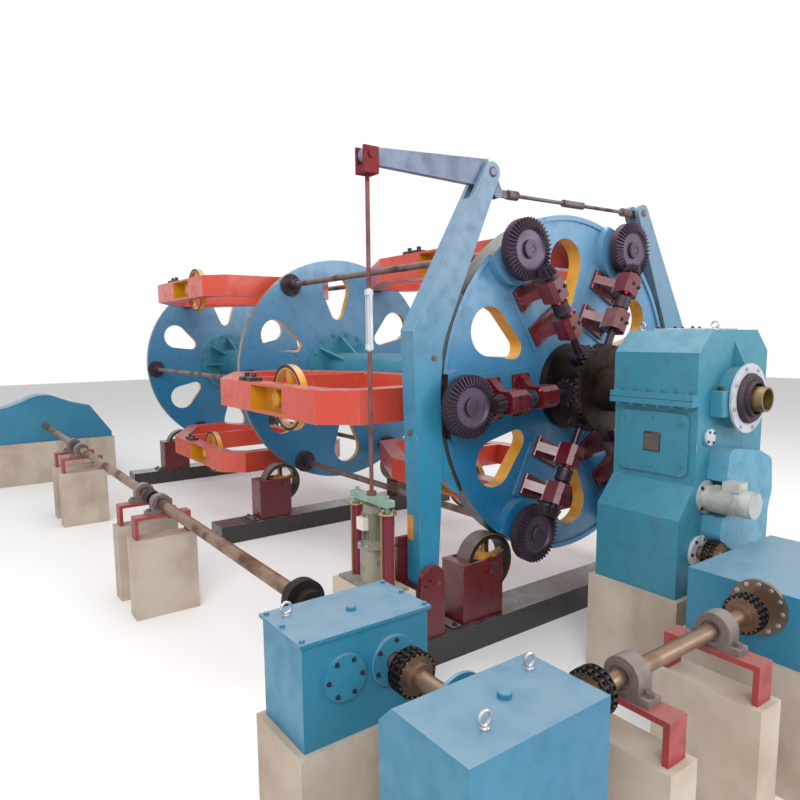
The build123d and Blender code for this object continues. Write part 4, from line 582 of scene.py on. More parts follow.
class Shape:
    """Mesh under construction, in metres in the machine's own frame."""

    def __init__(self) -> None:
        """Start with an empty mesh."""
        self.mesh = bmesh.new()

    def sew(self, rows: Sequence[Sequence[Vector]], ring: bool) -> "Shape":
        """Join rows of points, each a closed loop or a single point, with faces.

        Args:
            rows: Points of each row.
            ring: Whether the last row joins the first.

        Returns:
            This shape.
        """
        made = [[self.mesh.verts.new(point) for point in row] for row in rows]
        pairs = list(zip(made, made[1:]))
        if ring:
            pairs.append((made[-1], made[0]))
        for first, second in pairs:
            for step in range(max(len(first), len(second))):
                after = step + 1
                corners = [first[step % len(first)], first[after % len(first)],
                           second[after % len(second)], second[step % len(second)]]
                unique = list(dict.fromkeys(corners))
                if len(unique) > 2:
                    self.mesh.faces.new(unique)
        return self

    def lathe(self, origin: Vector, axis: Vector, profile: Profile, steps: int = 40,
              ring: bool = False) -> "Shape":
        """Turn a profile about an axis.

        Args:
            origin: Point where the distance along the axis is 0.
            axis: Unit axis.
            profile: Distance along the axis and radius of each corner.
            steps: Number of sides.
            ring: Whether the last corner joins the first.

        Returns:
            This shape.
        """
        rows = []
        for along, radius in profile:
            centre = origin + axis * along
            rows.append(ring_points(centre, *across(axis), radius, steps) if radius > 0 else [centre])
        return self.sew(rows, ring)

    def disc(self, origin: Vector, axis: Vector, radius: float, height: float,
             edge: float = 0.003) -> "Shape":
        """Add a round plate with a soft edge.

        Args:
            origin: Middle of its back face.
            axis: Unit axis from back to front.
            radius: Its radius.
            height: Its thickness.
            edge: Width of the edge's slope.

        Returns:
            This shape.
        """
        profile = [(0, 0), (0, radius), (height - edge, radius), (height, radius - edge), (height, 0)]
        return self.lathe(origin, axis, profile)

    def washer(self, origin: Vector, axis: Vector, inner: float, outer: float, height: float,
               steps: int = 40) -> "Shape":
        """Add a flat ring.

        Args:
            origin: Middle of its back face.
            axis: Unit axis from back to front.
            inner: Inner radius.
            outer: Outer radius.
            height: Its thickness.
            steps: Number of sides.

        Returns:
            This shape.
        """
        edge = min(0.003, height / 3)
        profile = [(0, inner), (0, outer), (height - edge, outer), (height, outer - edge), (height, inner)]
        return self.lathe(origin, axis, profile, steps, ring=True)

    def prism(self, outline: Sequence[Vector], depth: Vector) -> "Shape":
        """Push a flat outline along a direction.

        Args:
            outline: Corners in order.
            depth: Direction and length of the push.

        Returns:
            This shape.
        """
        near = [self.mesh.verts.new(corner) for corner in outline]
        far = [self.mesh.verts.new(corner + depth) for corner in outline]
        self.mesh.faces.new(near)
        self.mesh.faces.new(list(reversed(far)))
        for number in range(len(near)):
            after = (number + 1) % len(near)
            self.mesh.faces.new([near[number], far[number], far[after], near[after]])
        return self

    def block(self, low: Sequence[float], high: Sequence[float]) -> "Shape":
        """Add a block between two corners.

        Args:
            low: Lowest corner.
            high: Highest corner.

        Returns:
            This shape.
        """
        (x, y, z), (far_x, far_y, top) = low, high
        base = [Vector((x, y, z)), Vector((far_x, y, z)), Vector((far_x, far_y, z)), Vector((x, far_y, z))]
        return self.prism(base, Z_AXIS * (top - z))

    def eye(self, foot: Vector, axis: Vector, foot_radius: float, foot_height: float, lift: float,
            radius: float, steps: int = 24, sides: int = 10) -> "Shape":
        """Add a lifting eye: a foot and a ring of round wire over it.

        Args:
            foot: Middle of its seat.
            axis: Unit axis through the ring.
            foot_radius: Radius of the foot.
            foot_height: Height of the foot.
            lift: Height of the ring's middle over the seat.
            radius: Radius of the ring's middle line.
            steps: Number of the ring's sections.
            sides: Sides of a section.

        Returns:
            This shape.
        """
        self.disc(foot, Z_AXIS, foot_radius, foot_height)
        middle = foot + Z_AXIS * lift
        rows = []
        for point in ring_points(middle, *across(axis), radius, steps):
            rows.append(ring_points(point, (point - middle).normalized(), axis, 0.006, sides))
        return self.sew(rows, ring=True)

    def finish(self, name: str, finish: Finish, body: str = "frame", bevel: float = 0.0,
               slot: str = "") -> None:
        """Close the mesh, dress it and hang it on a body.

        Args:
            name: Name of the piece.
            finish: Its finish.
            body: Body that it moves with.
            bevel: Width of the bevel on its edges, or 0.
            slot: Not used.
        """
        bmesh.ops.remove_doubles(self.mesh, verts=self.mesh.verts, dist=1e-6)
        bmesh.ops.recalc_face_normals(self.mesh, faces=self.mesh.faces)
        data = bpy.data.meshes.new(name)
        self.mesh.to_mesh(data)
        self.mesh.free()
        piece = place_piece(name, data, finish, body)
        if bevel > 0:
            modifier = piece.modifiers.new("edges", "BEVEL")
            modifier.width = bevel
            modifier.segments = 2
            modifier.limit_method = "ANGLE"
            modifier.angle_limit = SMOOTH_ANGLE


def place_piece(name: str, data: bpy.types.Mesh, finish: Finish, body: str) -> bpy.types.Object:
    """Make an object of a mesh, with its finish and body.

    Args:
        name: Name of the piece.
        data: Its mesh, already in place.
        finish: Its finish.
        body: Body that it moves with.

    Returns:
        The object.
    """
    data.materials.clear()
    data.materials.append(SHOP.material(finish))
    data.polygons.foreach_set("use_smooth", [True] * len(data.polygons))
    data.set_sharp_from_angle(angle=SMOOTH_ANGLE)
    piece = bpy.data.objects.new(name, data)
    bpy.context.scene.collection.objects.link(piece)
    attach(piece, body)
    LOG.info("made %s on %s, %d faces", name, body, len(data.polygons))
    return piece


class Recipe(NodeTree):
    """Geometry Nodes tree with named inputs that is run on a carrier and baked to a plain mesh."""

    def __init__(self, name: str, inputs: Mapping[str, str]) -> None:
        """Start the tree with its inputs.

        Args:
            name: Name of the tree.
            inputs: Socket type of each named input, besides the geometry and the material.
        """
        self.tree = bpy.data.node_groups.new(name, "GeometryNodeTree")
        super().__init__(self.tree)
        common = {"Geometry": "NodeSocketGeometry", "Material": "NodeSocketMaterial"}
        for label, kind in {**common, **inputs}.items():
            self.tree.interface.new_socket(name=label, in_out="INPUT", socket_type=kind)
        self.tree.interface.new_socket(name="Geometry", in_out="OUTPUT", socket_type="NodeSocketGeometry")
        self.inputs = self.nodes.new("NodeGroupInput").outputs

    def close(self, points: bpy.types.NodeSocket, item: bpy.types.NodeSocket, **placing: object) -> None:
        """Put an item on each point and end in Realize Instances and Set Material.

        Args:
            points: Points that take the item.
            item: Geometry to repeat.
            **placing: Source socket of the instances' Rotation and Scale.
        """
        placed = self.add("GeometryNodeInstanceOnPoints", {"Points": points, "Instance": item, **placing})
        real = self.add("GeometryNodeRealizeInstances", {"Geometry": placed.outputs[0]})
        sockets = {"Geometry": real.outputs[0], "Material": self.inputs["Material"]}
        dressed = self.add("GeometryNodeSetMaterial", sockets)
        self.add("NodeGroupOutput", {"Geometry": dressed.outputs[0]})

    def bake(self, carrier_mesh: bpy.types.Mesh, values: Mapping[str, object]) -> bpy.types.Mesh:
        """Run the tree and take its result as a plain mesh.

        Args:
            carrier_mesh: Mesh that the tree starts from.
            values: Value of each named input.

        Returns:
            The baked mesh.
        """
        carrier = bpy.data.objects.new("carrier", carrier_mesh)
        bpy.context.scene.collection.objects.link(carrier)
        modifier = carrier.modifiers.new("recipe", "NODES")
        modifier.node_group = self.tree
        for item in self.tree.interface.items_tree:
            if item.item_type == "SOCKET" and item.in_out == "INPUT" and item.name in values:
                modifier[item.identifier] = values[item.name]
        graph = bpy.context.evaluated_depsgraph_get()
        baked = bpy.data.meshes.new_from_object(carrier.evaluated_get(graph), depsgraph=graph)
        carrier.modifiers.remove(modifier)
        bpy.data.objects.remove(carrier)
        return baked


class HexHeads(Recipe):
    """Puts a hexagon head with its washer on each point, along the point's facing."""

    def __init__(self) -> None:
        """Build the tree."""
        super().__init__("hexagon heads", {
            "Head Height": "NodeSocketFloat", "Washer Radius": "NodeSocketFloat"})
        height = self.inputs["Head Height"]
        points = self.add("GeometryNodeMeshToPoints", {"Mesh": self.inputs["Geometry"]})
        named = "GeometryNodeInputNamedAttribute"
        facing = self.add(named, {"Name": "facing"}, data_type="FLOAT_VECTOR")
        size = self.add(named, {"Name": "size"}, data_type="FLOAT")
        turn = self.add("FunctionNodeAlignRotationToVector", {"Vector": facing.outputs[0]}, axis="Z")
        cylinder = "GeometryNodeMeshCylinder"
        head = self.add(cylinder, {"Vertices": 6, "Radius": 0.56, "Depth": height})
        lift = self.add("ShaderNodeCombineXYZ", {"Z": height})
        half = self.add("ShaderNodeVectorMath", {0: lift.outputs[0], 1: (0, 0, 0.62)},
                        operation="MULTIPLY")
        sockets = {"Geometry": head.outputs[0], "Translation": half.outputs[0]}
        raised = self.add("GeometryNodeTransform", sockets)
        sockets = {"Vertices": 14, "Radius": self.inputs["Washer Radius"], "Depth": 0.16}
        washer = self.add(cylinder, sockets)
        joined = self.add("GeometryNodeJoinGeometry", {})
        for part in (raised, washer):
            self.links.new(part.outputs[0], joined.inputs[0])
        self.close(points.outputs[0], joined.outputs[0], Rotation=turn.outputs[0], Scale=size.outputs[0])


class BlockRing(Recipe):
    """Repeats a block round the Z axis."""

    def __init__(self) -> None:
        """Build the tree."""
        super().__init__("ring of blocks", {
            "Count": "NodeSocketInt", "Radius": "NodeSocketFloat", "Size": "NodeSocketVector"})
        sockets = {"Vertices": self.inputs["Count"], "Radius": self.inputs["Radius"]}
        circle = self.add("GeometryNodeMeshCircle", sockets)
        place = self.add("GeometryNodeInputPosition", {})
        turn = self.add("FunctionNodeAlignRotationToVector", {"Vector": place.outputs[0]}, axis="X",
                        pivot_axis="Z")
        block = self.add("GeometryNodeMeshCube", {"Size": self.inputs["Size"]})
        self.close(circle.outputs[0], block.outputs[0], Rotation=turn.outputs[0])


class PinRing(Recipe):
    """Repeats a round pin, lying along Z, round the Z axis."""

    def __init__(self) -> None:
        """Build the tree."""
        super().__init__("ring of pins", {
            "Count": "NodeSocketInt", "Radius": "NodeSocketFloat", "Pin Radius": "NodeSocketFloat",
            "Pin Length": "NodeSocketFloat"})
        sockets = {"Vertices": self.inputs["Count"], "Radius": self.inputs["Radius"]}
        circle = self.add("GeometryNodeMeshCircle", sockets)
        sockets = {"Vertices": 12, "Radius": self.inputs["Pin Radius"], "Depth": self.inputs["Pin Length"]}
        pin = self.add("GeometryNodeMeshCylinder", sockets)
        self.close(circle.outputs[0], pin.outputs[0])


class RingMaker:
    """Places rings of blocks or pins on any axis of the machine."""

    def __init__(self) -> None:
        """Build both recipes."""
        self.block_ring = BlockRing()
        self.pin_ring = PinRing()

    def place(self, recipe: Recipe, values: Mapping[str, object], name: str, finish: Finish,
              centres: Sequence[Vector], axis: Vector, turn: float = 0.0, body: str = "frame") -> None:
        """Bake one ring and join its copies at several places.

        Args:
            recipe: Recipe of the ring.
            values: Its named inputs.
            name: Name of the piece.
            finish: Its finish.
            centres: Middle of each copy.
            axis: Unit axis of the copies.
            turn: Their turn about the axis, in radians.
            body: Body that the piece moves with.
        """
        inputs = {**values, "Material": SHOP.material(finish)}
        baked = recipe.bake(bpy.data.meshes.new("carrier"), inputs)
        rotation = Z_AXIS.rotation_difference(axis).to_matrix().to_4x4() @ Matrix.Rotation(turn, 4, "Z")
        joined = bmesh.new()
        for centre in centres:
            copy = baked.copy()
            copy.transform(Matrix.Translation(centre) @ rotation)
            joined.from_mesh(copy)
            bpy.data.meshes.remove(copy)
        data = bpy.data.meshes.new(name)
        joined.to_mesh(data)
        joined.free()
        place_piece(name, data, finish, body)

    def blocks(self, name: str, finish: Finish, centres: Sequence[Vector], axis: Vector, count: int,
               radius: float, size: Point, turn: float = 0.0, body: str = "frame") -> None:
        """Place rings of blocks.

        Args:
            name: Name of the piece.
            finish: Its finish.
            centres: Middle of each ring.
            axis: Unit axis of the rings.
            count: Blocks in a ring.
            radius: Radius of the ring through the blocks' middles.
            size: Size of a block outwards, round the ring and along the axis.
            turn: Turn of the rings about their axis, in radians.
            body: Body that the piece moves with.
        """
        values = {"Count": count, "Radius": radius, "Size": size}
        self.place(self.block_ring, values, name, finish, centres, axis, turn, body)

    def pins(self, name: str, finish: Finish, centres: Sequence[Vector], axis: Vector, count: int,
             radius: float, pin_radius: float, length: float, body: str = "frame") -> None:
        """Place rings of pins that lie along the axis.

        Args:
            name: Name of the piece.
            finish: Its finish.
            centres: Middle of each ring.
            axis: Unit axis of the rings.
            count: Pins in a ring.
            radius: Radius of the ring through the pins' middles.
            pin_radius: Radius of a pin.
            length: Length of a pin.
            body: Body that the piece moves with.
        """
        values = {"Count": count, "Radius": radius, "Pin Radius": pin_radius, "Pin Length": length}
        self.place(self.pin_ring, values, name, finish, centres, axis, body=body)


@dataclass
class BoltBook:
    """Collects the fasteners of each body and makes them as one mesh for each finish."""

    head_height: float = 0.6
    washer_radius: float = 0.78
    spots: dict[tuple[str, Finish], list[tuple[Vector, Vector, float]]] = field(default_factory=dict)

    def add(self, finish: Finish, spot: Vector, facing: Vector, size: float, body: str = "frame") -> None:
        """Note one fastener.

        Args:
            finish: Its finish.
            spot: Middle of its seat.
            facing: Unit direction out of the surface.
            size: Width of its head.
            body: Body that it moves with.
        """
        self.spots.setdefault((body, finish), []).append((spot, facing, size))

    def circle(self, finish: Finish, centre: Vector, facing: Vector, radius: float, count: int,
               size: float, turn: float = 0.0, body: str = "frame") -> None:
        """Note a circle of fasteners.

        Args:
            finish: Their finish.
            centre: Middle of the circle.
            facing: Unit direction out of the surface.
            radius: Radius of the circle.
            count: Number of fasteners.
            size: Width of their heads.
            turn: Angle of the first one, in radians.
            body: Body that they move with.
        """
        for spot in ring_points(centre, *across(facing), radius, count, turn):
            self.add(finish, spot, facing, size, body)

    def make(self) -> None:
        """Bake the fasteners of each body and finish."""
        recipe = HexHeads()
        for (body, finish), spots in self.spots.items():
            points = bpy.data.meshes.new("points")
            points.from_pydata([tuple(spot) for spot, _, _ in spots], [], [])
            points.attributes.new("facing", "FLOAT_VECTOR", "POINT")
            points.attributes.new("size", "FLOAT", "POINT")
            facing = points.attributes["facing"]
            size = points.attributes["size"]
            for number, (_, direction, width) in enumerate(spots):
                facing.data[number].vector = direction
                size.data[number].value = width
            baked = recipe.bake(points, {
                "Material": SHOP.material(finish), "Head Height": self.head_height,
                "Washer Radius": self.washer_radius})
            label = finish.name.replace(" ", "_")
            place_piece(f"{body}_fasteners_{label}", baked, finish, body)


BOLTS = BoltBook()
RINGS = RingMaker()


def axis_point(x: float) -> Vector:
    """Give a point on the machine's axis.

    Args:
        x: Its place along the machine.

    Returns:
        The point.
    """
    return Vector((x, 0, AXIS_HEIGHT))


def spindle_direction(number: int) -> Vector:
    """Give the direction from the machine's axis to a spindle.

    Args:
        number: Spindle, from 0.

    Returns:
        Unit vector.
    """
    angle = CAGE_TURN + 2 * math.pi * number / SPINDLES
    return Vector((0, math.cos(angle), math.sin(angle)))


def cage_point(number: int, x: float, radius: float = PITCH_RADIUS, beside: float = 0.0) -> Vector:
    """Give a point of the cage, counted from the line that runs outwards to a spindle.

    Args:
        number: Spindle, from 0.
        x: Place along the machine.
        radius: Distance from the machine's axis.
        beside: Distance to the side of the line.

    Returns:
        The point.
    """
    outwards = spindle_direction(number)
    return axis_point(x) + outwards * radius + X_AXIS.cross(outwards) * beside


@dataclass
class Cage:
    """Discs, central tube, hub, bushes and brackets."""

    disc_radius: float = 1.25
    rim: float = 0.0015
    holes: tuple[float, float] = (0.55, 1.1)
    wall_end: float = 0.112
    margin: float = 0.01
    tube_bolt_radius: float = 0.412
    tube_bolts: int = 16
    tube_bolt: float = 0.034
    tube_flange: float = 0.03
    housing_radius: float = 0.118
    housing_height: float = 0.032
    housing_bore: float = 0.036
    sleeve_radius: float = 0.046
    sleeve_length: float = 0.13
    bearing_radii: tuple[float, float] = (0.829, 0.537)
    foot_x: float = -0.942
    foot_along: float = 0.05
    foot_beside: float = 0.128
    grease_cap: Profile = ((0, 0), (0.001, 0.006), (0.004, 0.010), (0.010, 0.0125), (0.016, 0.010),
                           (0.019, 0.006), (0.02, 0))

    def paint_disc(self, node: str) -> Paint:
        """Give a disc's paint, with yellow hole walls, a worn rim and a painted highlight on its upper
        part.

        Args:
            node: Name of the disc.

        Returns:
            The paint.
        """
        low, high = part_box(node)
        start = low.x - self.margin
        wall = RingZone(*self.holes, start, low.x + self.wall_end, (214, 156, 40), Facing.WALL)
        brown = (46, 34, 32) if node == "front_disc" else (132, 102, 74)
        rim = RingZone(self.disc_radius - self.rim, 2.0, start, high.x + self.margin, brown, Facing.WALL)
        # Painted highlight: the disc's paint turns paler towards the top, as if lit from above.
        return Paint(f"{node} paint", (20, 104, 148), (40, 118, 158), roughness=0.3, coat=0.35,
                     chips=0.15, painted_top_light=(100, 148, 182), high_start=1.4, high_end=3.1,
                     dirt=0.22, zones=(wall, rim))

    def dress(self) -> None:
        """Put finishes on the cage's own pieces."""
        for node in ("front_disc", "middle_disc", "rear_disc"):
            SHOP.dress(node, self.paint_disc(node))
        SHOP.dress("central_tube", TUBE_TEAL)
        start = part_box("main_shaft")[0].x - self.margin
        collar = BoxZone((start, -1, 1), (-0.3, 1, 3), (60, 50, 46))
        SHOP.dress("main_shaft", Metal("main shaft bronze", (150, 128, 90), (88, 66, 44),
                                       roughness=0.3, rust=0.3, zones=(collar,)))
        SHOP.dress("spindle_bearings", DARK_IRON)
        SHOP.dress("pinion_brackets", MAROON)

    def fit_tube_bolts(self) -> None:
        """Bolt the tube's flanges to the discs."""
        turn = CAGE_TURN + math.pi / self.tube_bolts
        for node, side in (("front_disc", -1), ("middle_disc", 1), ("middle_disc", -1), ("rear_disc", 1)):
            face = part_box(node)[side > 0].x + side * self.tube_flange
            BOLTS.circle(TUBE_TEAL, axis_point(face), X_AXIS * side, self.tube_bolt_radius,
                         self.tube_bolts, self.tube_bolt, turn, "cage")

    def fit_housings(self) -> None:
        """Add the bearing housings that show on the front of the thin discs."""
        for node in ("middle_disc", "rear_disc"):
            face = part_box(node)[1].x
            housings = Shape()
            for number in range(SPINDLES):
                centre = cage_point(number, face)
                housings.washer(centre, X_AXIS, self.housing_bore, self.housing_radius,
                                self.housing_height)
                BOLTS.circle(DARK_IRON, centre + X_AXIS * self.housing_height, X_AXIS,
                             self.housing_radius - 0.022, 6, 0.018, body="cage")
            housings.finish(f"{node}_bearing_housings", DARK_IRON, "cage", slot="bronze_gear")

    def fit_sleeves(self) -> None:
        """Add the clamping sleeve of each rod where it leaves the housing of a disc."""
        length, radius = self.sleeve_length, self.sleeve_radius
        groove, head = radius * 0.86, radius * 1.12
        profile = [(0, 0), (0, radius), (length * 0.55, radius), (length * 0.57, groove),
                   (length * 0.63, groove), (length * 0.65, head), (length - 0.004, head),
                   (length, radius), (length, 0)]
        for number in range(SPINDLES):
            node = "middle_disc" if number % 2 == 0 else "rear_disc"
            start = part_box(node)[1].x + self.housing_height + 0.006
            sleeve = Shape().lathe(cage_point(number, start), X_AXIS, profile)
            sleeve.finish(f"rod_sleeve_{number + 1}", DARK_IRON, f"spindle_unit_{number + 1}")

    def fit_brackets(self) -> None:
        """Add foot bolts, cap bolts and red grease caps to the pinion brackets."""
        caps = Shape()
        for number in range(SPINDLES):
            outwards = spindle_direction(number)
            for radius, side in zip(self.bearing_radii, (-1, 1)):
                for along in (-self.foot_along, self.foot_along):
                    for beside in (-self.foot_beside, self.foot_beside):
                        foot = cage_point(number, self.foot_x, radius + along, beside)
                        BOLTS.add(MAROON, foot, X_AXIS, 0.022, "cage")
                root = cage_point(number, TRAIN_X + 0.05, radius + side * 0.087 - 0.01, -side * 0.052)
                caps.lathe(root, outwards, self.grease_cap, 12)
                for beside in (-0.033, 0.033):
                    seat = cage_point(number, TRAIN_X + 0.074, radius, beside)
                    BOLTS.add(DARK_IRON, seat, X_AXIS, 0.02, "cage")
        caps.finish("bracket_grease_caps", RED_CAP, "cage")

    def build(self) -> None:
        """Dress the cage and add its fittings."""
        self.dress()
        self.fit_tube_bolts()
        self.fit_housings()
        self.fit_sleeves()
        self.fit_brackets()


@dataclass
class Spindles:
    """Rods with their bevel gears, and the cradles that they carry."""

    gear_start: float = -1.0
    web_radius: float = 0.128
    web_start: float = -0.86
    hub_x: float = -0.80
    nut: tuple[float, float] = (0.03, 0.058)
    pocket_half: float = 0.27
    pocket_shift: float = 0.075
    side_chamfer: float = 0.212
    side_length: float = 1.637
    half_width: float = 0.788
    pocket_depth: float = 0.128
    ledge: float = 0.018
    half_height: float = 0.1125
    beam: float = 0.16
    wheel_radius: float = 0.25
    wheel_width: float = 0.056
    wheel_gap: float = 0.014
    pintle_cap: Profile = ((0.04, 0), (0.04, 0.06), (0.052, 0.056), (0.06, 0.03), (0.06, 0))

    def dress_rod(self, number: int) -> None:
        """Put steel on a rod and oiled iron on its gear.

        Args:
            number: Spindle, from 0.
        """
        gear = BoxZone((self.gear_start, -3, -1), (0.5, 3, 5), (70, 56, 70))
        web = RingZone(0.0, self.web_radius, self.web_start, 0.0, (102, 86, 106), Facing.FACE,
                       tuple(cage_point(number, 0)))
        SHOP.dress(f"spindle_{number + 1}", Metal(
            f"spindle {number + 1} steel", (122, 104, 98), (74, 54, 48), roughness=0.4, rust=0.5,
            metallic=0.65, zones=(gear, web)))

    def cradle_middle(self, number: int) -> Point:
        """Give the point of a cradle between its pockets.

        Args:
            number: Cradle, from 0.

        Returns:
            The point.
        """
        low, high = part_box(f"cradle_{number + 1}")
        x = high.x - self.side_chamfer - self.side_length / 2 + self.pocket_shift
        return x, (low.y + high.y) / 2, (low.z + high.z) / 2

    def cradle_paint(self, number: int) -> Paint:
        """Give a cradle's paint with its yellow pockets and brake wheel.

        Args:
            number: Cradle, from 0.

        Returns:
            The paint.
        """
        x, y, z = self.cradle_middle(number)
        length = self.pocket_half + SLIVER
        height = self.half_height - self.ledge + SLIVER
        zones = []
        for side in (-1, 1):
            near, far = sorted((y + side * (self.half_width - self.pocket_depth - SLIVER),
                                y + side * (self.half_width - 0.002)))
            zones.append(BoxZone((x - length, near, z - height), (x + length, far, z + height),
                                 (206, 142, 18)))
        start = y - self.half_width + self.beam + self.wheel_gap - 0.004
        reach = self.wheel_radius + 0.01
        zones.append(BoxZone((x - reach, start, z - reach),
                             (x + reach, start + self.wheel_width + 0.008, z + reach), (214, 150, 22)))
        return Paint(f"cradle {number + 1} paint", (196, 56, 34), (208, 84, 64),
                     chip=(226, 186, 152), roughness=0.3, coat=0.35, chips=0.75, wear=0.55,
                     dirt=0.16, grain=0.12, zones=tuple(zones))

    def fit_gear(self, number: int) -> None:
        """Add the nut and the shaft end in the middle of a big gear.

        Args:
            number: Spindle, from 0.
        """
        hub = cage_point(number, self.hub_x)
        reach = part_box(f"spindle_{number + 1}")[1].x - hub.x
        end = Shape().washer(hub, X_AXIS, *self.nut, max(reach * 0.55, 0.02))
        end.lathe(hub, X_AXIS, [(0, 0), (0, 0.029), (reach * 0.86, 0.029), (reach * 0.92, 0.024),
                                (reach * 0.92, 0.008), (reach * 0.7, 0.0)])
        end.finish(f"gear_{number + 1}_shaft_end", WEB_STEEL, f"spindle_unit_{number + 1}")

    def fit_cradle(self, number: int) -> None:
        """Add the tyre of the brake wheel, the pintle caps and the band's bracket of a cradle.

        Args:
            number: Cradle, from 0.
        """
        body, name = f"spindle_unit_{number + 1}", f"cradle_{number + 1}"
        x, y, z = self.cradle_middle(number)
        wheel_y = y - self.half_width + self.beam + self.wheel_gap
        tyre = Shape().washer(Vector((x, wheel_y - 0.003, z)), Y_AXIS, self.wheel_radius - 0.022,
                              self.wheel_radius - 0.0005, self.wheel_width + 0.006, 64)
        tyre.finish(f"{name}_brake_tyre", DARK_IRON, body)
        caps = Shape()
        for side in (-1, 1):
            floor = y + side * (self.half_width - self.pocket_depth)
            caps.lathe(Vector((x, floor, z)), Y_AXIS * side, self.pintle_cap, 32)
        caps.finish(f"{name}_pintle_caps", YELLOW, body)
        bracket = Shape()
        top = z + self.half_height
        middle = y - self.half_width + self.beam / 2
        for start in (x - 0.42, x - 0.56):
            bracket.block((start, middle - 0.05, top), (start + 0.09, middle + 0.05, top + 0.03))
            bracket.disc(Vector((start + 0.045, middle, top + 0.03)), Z_AXIS, 0.02, 0.035)
        bracket.block((x - 0.5, middle - 0.012, top + 0.012), (x - 0.38, middle + 0.012, top + 0.024))
        bracket.finish(f"{name}_brake_bracket", BLACK_BEAM, body, 0.003)

    def build(self) -> None:
        """Dress each spindle and cradle and add its fittings."""
        for number in range(SPINDLES):
            self.dress_rod(number)
            SHOP.dress(f"cradle_{number + 1}", self.cradle_paint(number))
            self.fit_gear(number)
            self.fit_cradle(number)


@dataclass
class Train:
    """Radial pinion shafts and the sun gear."""

    position: float = 0.683
    coupling_radius: float = 0.05
    ring_radius: float = 0.0585
    ring_height: float = 0.016
    ring_shift: float = 0.028

    def build(self) -> None:
        """Dress the train and add the rings and screws of its couplings."""
        for number in range(SPINDLES):
            SHOP.dress(f"pinion_shaft_{number + 1}", GEAR_STEEL)
            body = f"radial_shaft_{number + 1}"
            outwards = spindle_direction(number)
            middle = cage_point(number, TRAIN_X, self.position)
            rings = Shape()
            for side in (-1, 1):
                start = middle + outwards * (side * self.ring_shift - self.ring_height / 2)
                rings.washer(start, outwards, self.coupling_radius, self.ring_radius,
                             self.ring_height, 32)
            rings.finish(f"radial_coupling_{number + 1}", DARK_IRON, body)
            BOLTS.circle(DARK_IRON, middle + outwards * 0.046, outwards, 0.042, 4, 0.014, body=body)
        SHOP.dress("sun_gear", BRONZE)


